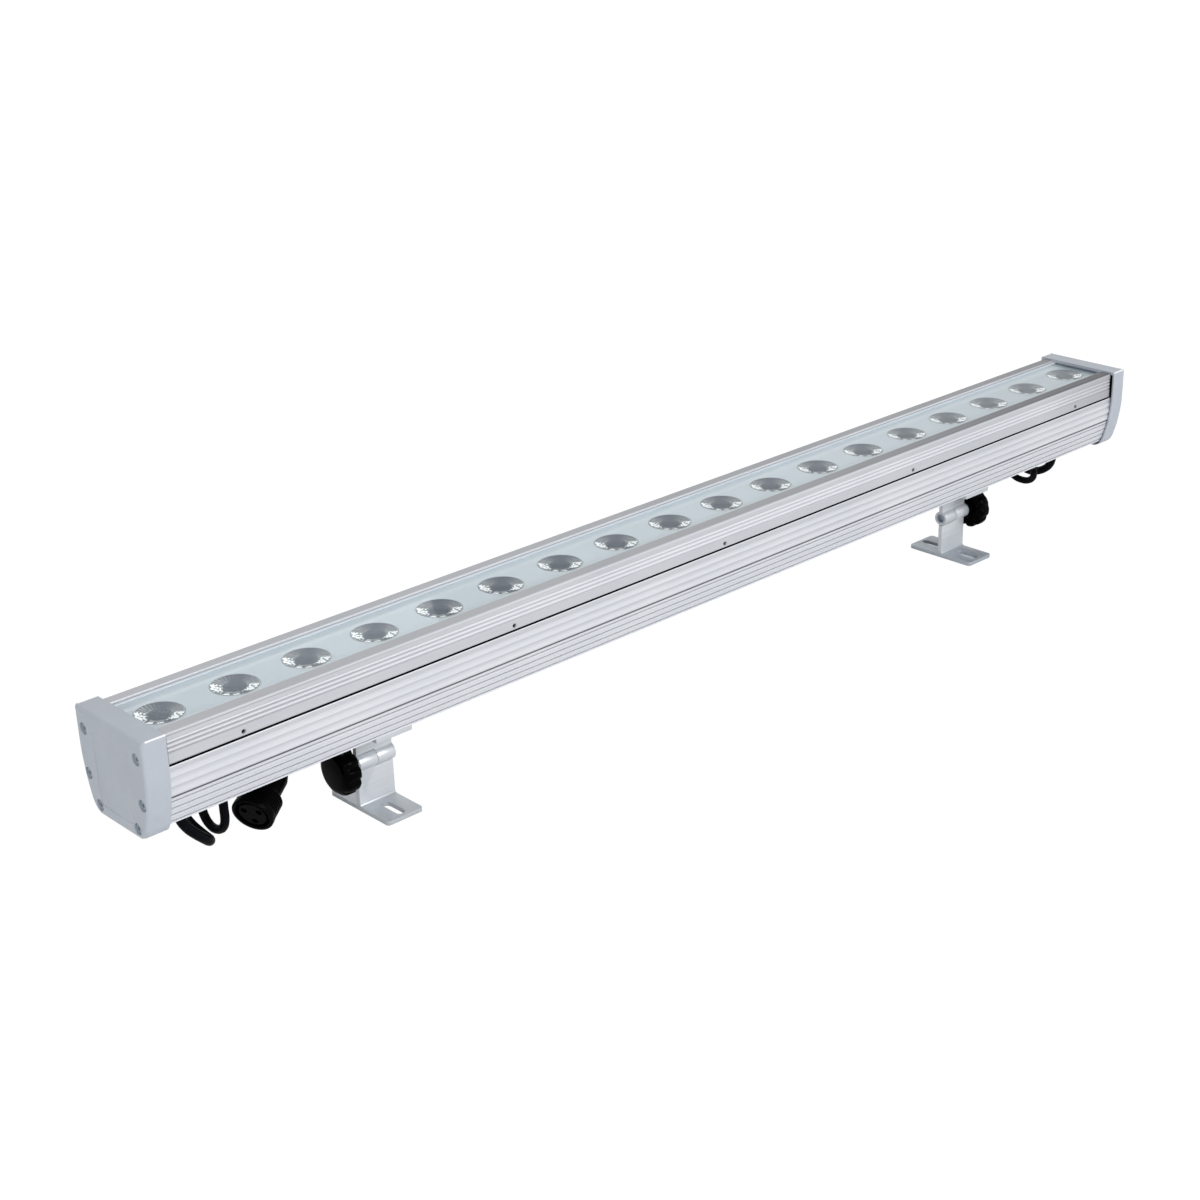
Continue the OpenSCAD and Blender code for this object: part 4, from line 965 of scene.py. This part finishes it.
RAIL_SCREW_SHARES = [-0.8566, -0.4206, -0.0116, 0.423, 0.8632]
RAIL_SCREW_Z = 0.1091
SCREW_BORE = (1.5, 8)
SCREW_SINK = (2.05, 0.7)
for side, name in ((1, "back_rail"), (-1, "front_rail")):
    rail = draw_rail(name + "_extrusion", side)
    drills = []
    for share in RAIL_SCREW_SHARES:
        for radius, depth in (SCREW_BORE, SCREW_SINK):
            bpy.ops.mesh.primitive_cylinder_add(
                vertices=28, radius=radius / 1000, depth=depth / 1000,
                location=(share * 0.5, side * BODY_HALF / 1000, RAIL_SCREW_Z),
                rotation=(math.pi / 2, 0, 0),
            )
            drills.append(bpy.context.object)
    cut_away(rail, drills)
    tone_points(rail, rail_outline())
    paint_light_along_rail(rail, TOP_TONES[side])
    finish_piece(rail, "lamp", rail_metal, "anodised_rail", name)

# %% [markdown]
# ## End caps
# A cap is an aluminium casting with soft outer edges, a shallow panel on its face and
# six round recesses for its screws. It is drawn as its outline, extruded over the end of
# the body, rounded on its outer rim, and hollowed and drilled with cutters.

# %% Sizes of a cap
CAP_HALF = 38.4
CAP_TOP = 128.15
CAP_BOTTOM = 58.2
CAP_BACK = 483.2
CAP_RIM = 2.8
CAP_WALL = 1.5
BAR_END = 500
RECESS_FLOOR = 496.9
PANEL_MIDDLE_Z = 0.0909
CAP_SHARES = [
    (0.978, 1), (0.993, 0.9965), (1, 0.988), (1, 0.8), (0.992, 0.565), (0.945, 0.379),
    (0.909, 0.279), (0.862, 0.193), (0.805, 0.1), (0.716, 0.034), (0.6, 0),
]
CAP_SCREWS = [(29.85, 114.72), (30.6, 84.22), (21.6, 65.2)]


def cap_line(inset=0.0):
    """Right half of the cap's outline, from the bottom up."""
    half = []
    for y, z in smooth_line(CAP_SHARES, 5)[::-1]:
        half.append((y * CAP_HALF - inset, CAP_BOTTOM + z * (CAP_TOP - CAP_BOTTOM)))
    return half


# %% Draw the right cap
def drawn_in(piece, x, reach, middle, inset, forward):
    """Extrudes the faces at x forward and scales them about the middle, as one step of a
    rounded rim. reach is the half width and half height there, all in millimetres."""
    make_active(piece)
    bpy.ops.object.mode_set(mode="EDIT")
    bpy.ops.mesh.select_mode(type="FACE")
    bpy.ops.mesh.select_all(action="DESELECT")
    bpy.ops.object.mode_set(mode="OBJECT")
    for face in piece.data.polygons:
        face.select = abs(face.center.x * 1000 - x) < 0.001 and abs(face.normal.x) > 0.99
    bpy.ops.object.mode_set(mode="EDIT")
    bpy.ops.mesh.extrude_region_move(TRANSFORM_OT_translate={"value": (forward / 1000, 0, 0)})
    bpy.ops.transform.resize(
        value=(1, 1 - inset / reach[0], 1 - inset / reach[1]),
        center_override=(0, 0, middle / 1000),
    )
    bpy.ops.object.mode_set(mode="OBJECT")
    return x + forward, (reach[0] - inset, reach[1] - inset)


def draw_cap(name):
    at = BAR_END - CAP_RIM
    cap = extruded_along_bar(name, [mirrored(cap_line())], CAP_BACK, at, crease=40)
    middle = (CAP_TOP + CAP_BOTTOM) / 2
    reach = (CAP_HALF, (CAP_TOP - CAP_BOTTOM) / 2)
    for k in range(6):
        a, b = math.radians(15 * k), math.radians(15 * (k + 1))
        at, reach = drawn_in(
            cap, at, reach, middle,
            CAP_RIM * (math.cos(a) - math.cos(b)), CAP_RIM * (math.sin(b) - math.sin(a)),
        )
    low, high = CAP_BOTTOM + CAP_WALL, 125.65
    side = [(y, z) for y, z in cap_line(CAP_WALL) if low < z < high]
    inside = [(side[0][0] - 1.5, low)] + side + [(36.9, high)]
    hollow = extruded_along_bar("hollow", [mirrored(inside)], 480, 495)
    cutters = [hollow]
    for y, z in CAP_SCREWS:
        for way in (-1, 1):
            for radius, depth_at in ((4.05, RECESS_FLOOR), (1.7, 490)):
                bpy.ops.mesh.primitive_cylinder_add(
                    vertices=40, radius=radius / 1000, depth=0.02,
                    location=(depth_at / 1000 + 0.01, way * y / 1000, z / 1000),
                    rotation=(0, math.pi / 2, 0),
                )
                cutters.append(bpy.context.object)
    bpy.ops.mesh.primitive_cube_add(size=1, location=(0.50058, 0, PANEL_MIDDLE_Z))
    panel = bpy.context.object
    panel.scale = (0.002, 0.042, 0.051)
    settle(panel)
    # The inner face of the cutter is smaller, so the panel gets sloped walls.
    for vertex in panel.data.vertices:
        if vertex.co.x < 0.5:
            vertex.co.y *= 40 / 42
            vertex.co.z = PANEL_MIDDLE_Z + (vertex.co.z - PANEL_MIDDLE_Z) * 49 / 51
    cutters.append(panel)
    cut_away(cap, cutters)
    edges = cap.modifiers.new("worn_edges", "BEVEL")
    edges.width = 0.00022
    edges.segments = 2
    edges.limit_method = "ANGLE"
    edges.angle_limit = math.radians(50)
    apply_modifiers(cap)
    bpy.ops.object.shade_smooth_by_angle(angle=math.radians(38))
    # A painted highlight along the top corners, as far as the rounded rim.
    edge_highlight = cap.data.attributes.new("edge_highlight", "FLOAT", "FACE")
    for face, value in zip(cap.data.polygons, edge_highlight.data):
        x, y, z = face.center * 1000
        at_corner = abs(y) > CAP_HALF - 1.1 and z > CAP_TOP - 1.1
        value.value = 1.0 if at_corner and x < 497.4 else 0.0
    return cap


right_cap = draw_cap("right_end_cap_casting")


# %% Mirror it for the left end
def mirrored_copy(piece, name):
    twin = bpy.data.objects.new(name, piece.data.copy())
    bpy.context.scene.collection.objects.link(twin)
    twin.scale = (-1, 1, 1)
    settle(twin)
    bpy.ops.object.mode_set(mode="EDIT")
    bpy.ops.mesh.select_all(action="SELECT")
    bpy.ops.mesh.normals_make_consistent(inside=False)
    bpy.ops.object.mode_set(mode="OBJECT")
    return twin


left_cap = mirrored_copy(right_cap, "left_end_cap_casting")


# %% Turn the screws of the caps
def draw_cap_screws(name):
    """Six button heads on one end, each a half outline spun round its axis."""
    heads = []
    for y, z in CAP_SCREWS:
        for way in (-1, 1):
            head = spun(
                name,
                [(0.0001, 484), (1.45, 484), (1.45, RECESS_FLOOR), (3.5, RECESS_FLOOR),
                 (3.7, 497.1), (3.7, 498.4), (3.5, 498.8), (2.5, 499.1), (1.35, 499.2),
                 (1.15, 498.2), (0.0001, 498.0)],
                steps=36,
            )
            head.rotation_euler = (0, math.pi / 2, 0)
            head.location = (0, way * y / 1000, z / 1000)
            settle(head)
            heads.append(head)
    return joined(heads)


right_heads = draw_cap_screws("right_cap_screws_turned")
left_heads = mirrored_copy(right_heads, "left_cap_screws_turned")
finish_piece(right_heads, "lamp", screw_steel, "screw_steel", "right_cap_screws")
finish_piece(left_heads, "lamp", screw_steel, "screw_steel", "left_cap_screws")
finish_piece(right_cap, "lamp", cast_paint, "cap_paint", "right_end_cap")
finish_piece(left_cap, "lamp", cast_paint, "cap_paint", "left_end_cap")

# %% [markdown]
# ## Clamp knobs
# The knob is a moulded grip with ten broad lobes, narrow grooves between them and a
# smooth domed front. Its edge is drawn as a row of rings from the hub to the front, each
# with its own radius and depth of groove, and the rings are bridged.

# %% Draw a knob about X, with its hub at zero
KNOB_R = 17.3
KNOB_RINGS = [
    (4.1, 14.8, 1.0), (4.5, 16.1, 1.5), (5.2, 16.9, 1.8), (6.2, KNOB_R, 1.9),
    (10.6, KNOB_R, 1.9), (12.4, 17.2, 1.7), (13.6, 16.7, 1.2), (14.6, 15.9, 0.6),
    (15.4, 15.0, 0.2), (16.2, 13.6, 0), (16.8, 12.3, 0), (17.1, 11.0, 0),
]
KNOB_POINTS = 160
KNOB_TURN = 24
KNOB_X = 0.3263
HINGE_Z = 0.035


def draw_knob(name, x, way):
    places, edges = [], []
    for along, radius, groove in KNOB_RINGS:
        first = len(places)
        for i in range(KNOB_POINTS):
            angle = 2 * math.pi * i / KNOB_POINTS
            scoop = abs(math.cos(5 * (angle - math.radians(KNOB_TURN)))) ** 7
            reach = (radius - groove * scoop) / 1000
            places.append((along / 1000, reach * math.cos(angle), reach * math.sin(angle)))
            edges.append((first + i, first + (i + 1) % KNOB_POINTS))
    mesh = bpy.data.meshes.new(name)
    mesh.from_pydata(places, edges, [])
    grip = bpy.data.objects.new(name, mesh)
    bpy.context.scene.collection.objects.link(grip)
    make_active(grip)
    bpy.ops.object.mode_set(mode="EDIT")
    bpy.ops.mesh.select_all(action="SELECT")
    bpy.ops.mesh.bridge_edge_loops()
    bpy.ops.mesh.select_all(action="DESELECT")
    bpy.ops.mesh.select_mode(type="EDGE")
    bpy.ops.mesh.select_non_manifold()
    bpy.ops.mesh.edge_face_add()
    bpy.ops.mesh.select_all(action="SELECT")
    bpy.ops.mesh.normals_make_consistent(inside=False)
    bpy.ops.object.mode_set(mode="OBJECT")
    hub = spun(name + "_hub", [(3.05, 0), (7.6, 0), (8, 0.4), (8, 6), (3.05, 6), (3.05, 0)])
    hub.rotation_euler = (0, math.pi / 2, 0)
    settle(hub)
    joined([grip, hub])
    grip.location = (way * x, 0, HINGE_Z)
    grip.rotation_euler = (0, 0, 0 if way > 0 else math.pi)
    settle(grip)
    bpy.ops.object.shade_smooth_by_angle(angle=math.radians(38))
    return grip


for way, name in ((-1, "left_knob"), (1, "right_knob")):
    finish_piece(draw_knob(name + "_grip", KNOB_X, way), name, black_gloss,
                 "knob_black", name)

# %% [markdown]
# ## Lenses
# Each lens is a round dish of clear plastic over its LED, pressed with a net of small
# facets that scatter the light. One lens is modelled from a disc by insets, and its
# facets are tilted a little by a seeded random number. Each facet keeps a painted
# brightness: painted highlights on the two near sides, where the real facets turn to the lit
# room, while the far wall and the cone over the LED stay grey. The painted light belongs to
# the facet, so it stays where it is when the lens is seen from another side.

# %% Model one lens
LENS_PITCH = 54.6
LENS_TOP = 0.12145
LENS_RINGS = [
    (15.75, 0.0), (15.3, 0.06), (14.3, -0.25), (13.3, -0.5), (12.2, -0.75), (11.1, -1.0),
    (10.0, -1.15), (8.9, -1.25), (7.7, -1.35), (6.4, -1.4), (5.0, -1.4), (3.4, -1.35),
    (1.8, -1.3),
]
LENS_RADIUS = LENS_RINGS[0][0]
LENS_COLUMNS = 68


def draw_lens():
    deselect_all()
    bpy.ops.mesh.primitive_circle_add(
        vertices=LENS_COLUMNS, radius=LENS_RADIUS / 1000, fill_type="NGON",
        location=(0, 0, 0),
    )
    lens = bpy.context.object
    lens.name = "lens_model"
    bpy.ops.object.mode_set(mode="EDIT")
    bpy.ops.mesh.select_mode(type="FACE")
    bpy.ops.mesh.select_all(action="SELECT")
    for (r0, z0), (r1, z1) in zip(LENS_RINGS, LENS_RINGS[1:]):
        bpy.ops.mesh.inset(thickness=(r0 - r1) / 1000, depth=(z1 - z0) / 1000)
    bpy.ops.mesh.poke()
    bpy.ops.object.mode_set(mode="OBJECT")
    chance = random.Random(7)
    for vertex in lens.data.vertices:
        reach = vertex.co.xy.length * 1000
        if 8.4 < reach < 15:
            vertex.co.z += chance.uniform(-0.00014, 0.00014)
    return lens


def near(angle, centre, width):
    """One at the centre angle, falling softly to zero, all in degrees."""
    away = (angle - centre + 180) % 360 - 180
    return math.exp(-((away / width) ** 2))


def facet_painted_light(face, column, chance):
    """Painted light of a facet from 0 to 1. Across and away are its place on the lens as
    shares of its radius, seen from the corner between the bar's left end and its front:
    two white lobes of painted highlight beside the dark cone, two painted glints and an arc below
    it, and fine streaks."""
    x, y = face.center.x, face.center.y
    across = (CAMERA_RIGHT[0] * x + CAMERA_RIGHT[1] * y) * 1000 / LENS_RADIUS
    away = (-CAMERA_RIGHT[1] * x + CAMERA_RIGHT[0] * y) * 1000 / LENS_RADIUS
    reach = math.hypot(across, away)
    turn = math.degrees(math.atan2(away, across))
    luck = chance.random()
    if reach > 0.975:
        return 0.42 if away > 0 else 0.3
    cone = 0.3 + 0.3 * (away + 0.6)
    outside = min(1, max(0, (abs(across) - cone) / 0.12))
    middle = -0.24 if across < 0 else -0.12
    lobe = outside * math.exp(-(((away - middle) / 0.33) ** 4))
    below = near(turn, 270, 42)
    if luck < lobe * 0.78:
        return chance.uniform(0.85, 1.0)
    if reach > 0.52:
        if 0.8 < reach < 0.95 and min(abs(turn + 104), abs(turn + 76)) < 7:
            return 1.0
        if 0.56 < reach < 0.65 and -118 < turn < -62:
            return 0.5
        streak = 0.27 if column % 2 else 0.0
        side = max(near(turn, 160, 40), near(turn, 20, 40), 0.4 * below)
        return 0.03 + side * (streak + 0.14 * luck) + 0.1 * lobe * luck
    if abs(across) < 0.42 and away < 0.1:
        return 0.01 * luck
    if luck > 0.93 and away < 0.25:
        return 0.25
    return 0.02 + 0.03 * luck


lens_model = draw_lens()
chance = random.Random(11)
shade = lens_model.data.attributes.new("facet", "FLOAT", "FACE")
for face, value in zip(lens_model.data.polygons, shade.data):
    column = int((math.atan2(face.center.y, face.center.x) / math.pi + 1) * LENS_COLUMNS / 2)
    value.value = facet_painted_light(face, column, chance)
    face.use_smooth = False
print("one lens:", len(lens_model.data.polygons), "faces")

# %% Copy it along the bar, one piece for each board
for group, name in enumerate(("left_lenses", "middle_lenses", "right_lenses")):
    deselect_all()
    for i in range(6):
        x = (group * 6 + i - 8.5) * LENS_PITCH / 1000
        twin = bpy.data.objects.new(name + "_moulded", lens_model.data.copy())
        bpy.context.scene.collection.objects.link(twin)
        twin.location = (x, 0, LENS_TOP)
        twin.select_set(True)
        bpy.context.view_layer.objects.active = twin
    bpy.ops.object.join()
    lenses = bpy.context.object
    lenses.name = name + "_moulded"
    settle(lenses)
    finish_piece(lenses, "lamp", lens_facets, "lens_clear", name)
bpy.data.objects.remove(lens_model)

# %% [markdown]
# ## Open socket
# The socket that hangs under the near end has a wide collar with fine grip rings, a
# round face set back in it and three contact holes. Its half outline is spun round its
# axis and then turned to where its lead brings it.

# %% Draw the socket
SOCKET_TAIL = Vector((-366, 22, 47)) / 1000
SOCKET_YAW, SOCKET_PITCH = 28, 21


def socket_profile():
    half = [(3.1, 0), (4.7, 0), (5, 0.4), (6.4, 5), (9.4, 13.5), (10.3, 16.5), (10.3, 32.4)]
    half += [(13.6, 32.8), (14.1, 33.4)]
    for k in range(5):
        z = 35 + k * 2.1
        half += [(14.1, z), (13.5, z + 0.35), (13.5, z + 1.0), (14.1, z + 1.35)]
    half += [(14.4, 46.4), (14.4, 49.2), (14.1, 49.8), (13.5, 50), (12.3, 50), (11.9, 49.6),
             (11.7, 46.5), (9.9, 46.5), (9.8, 48.9), (9.5, 49.2), (0.0001, 49.2),
             (0.0001, 10), (3.1, 8), (3.1, 0)]
    return half


def contact_place(k):
    """Middle of one of the three contacts on the face of the socket, in metres."""
    turn = math.radians(120 * k + 180)
    return 0.0062 * math.cos(turn), 0.0062 * math.sin(turn)


def place_at_lead(piece):
    piece.matrix_world = (
        Matrix.Translation(SOCKET_TAIL)
        @ Matrix.Rotation(math.radians(SOCKET_YAW), 4, "Z")
        @ Matrix.Rotation(math.radians(-90 - SOCKET_PITCH), 4, "Y")
    )
    settle(piece)


socket = spun("left_signal_socket_moulded", socket_profile(), steps=72, crease=30)
drills = []
for k in range(3):
    bpy.ops.mesh.primitive_cylinder_add(
        vertices=32, radius=0.0022, depth=0.02, location=(*contact_place(k), 0.051)
    )
    drills.append(bpy.context.object)
cut_away(socket, drills)
bpy.ops.object.shade_smooth_by_angle(angle=math.radians(30))
place_at_lead(socket)
finish_piece(socket, "lamp", black_plastic, "black_plastic", "left_signal_socket")

# %% Turn its three contacts, small tubes set back in the holes
tubes = []
for k in range(3):
    tube = spun("left_signal_contacts_turned",
                [(1.2, 41.4), (1.9, 41.4), (1.9, 47.2), (1.7, 47.4), (1.2, 47.4), (1.2, 41.4)],
                steps=24)
    tube.location = (*contact_place(k), 0)
    settle(tube)
    tubes.append(tube)
contacts = joined(tubes)
place_at_lead(contacts)
finish_piece(contacts, "lamp", dark_screw, "screw_steel", "left_signal_contacts")

# %% [markdown]
# ## Brackets, feet and small parts
# These keep the model's shape. Each is a merged copy whose edges get the small radius of
# the real part, so that they catch the light.

# %% Round the edges of the small parts
WORN_COPIES = {
    "left_upper_bracket": (0.35, "lamp", foot_metal, "bracket_aluminium"),
    "right_upper_bracket": (0.35, "lamp", foot_metal, "bracket_aluminium"),
    "left_foot": (0.4, "left_foot", foot_metal, "bracket_aluminium"),
    "right_foot": (0.4, "right_foot", shaded_right_foot_metal, "bracket_aluminium"),
    "left_washer": (0.2, "left_washer", screw_steel, "screw_steel"),
    "right_washer": (0.2, "right_washer", screw_steel, "screw_steel"),
    "cord_glands": (0.3, "lamp", black_plastic, "black_plastic"),
    "left_power_socket": (0.4, "lamp", black_plastic, "black_plastic"),
    "right_signal_plug": (0.3, "lamp", black_plastic, "black_plastic"),
    "right_power_plug": (0.3, "lamp", black_plastic, "black_plastic"),
    "right_signal_nut": (0.25, "right_signal_nut", black_plastic, "black_plastic"),
    "right_power_nut": (0.25, "right_power_nut", black_plastic, "black_plastic"),
    "cord_ties": (0.2, "lamp", black_plastic, "black_plastic"),
    "bracket_screws": (0.3, "lamp", screw_steel, "screw_steel"),
}
for name, (edge, body, material, slot) in WORN_COPIES.items():
    finish_piece(rounded_copy(name, edge), body, material, slot, name)

# %% Leads take their finish and are declared
for name, lead in LEADS.items():
    finish_piece(leads[name], "lamp", black_rubber, "cord_rubber", name)
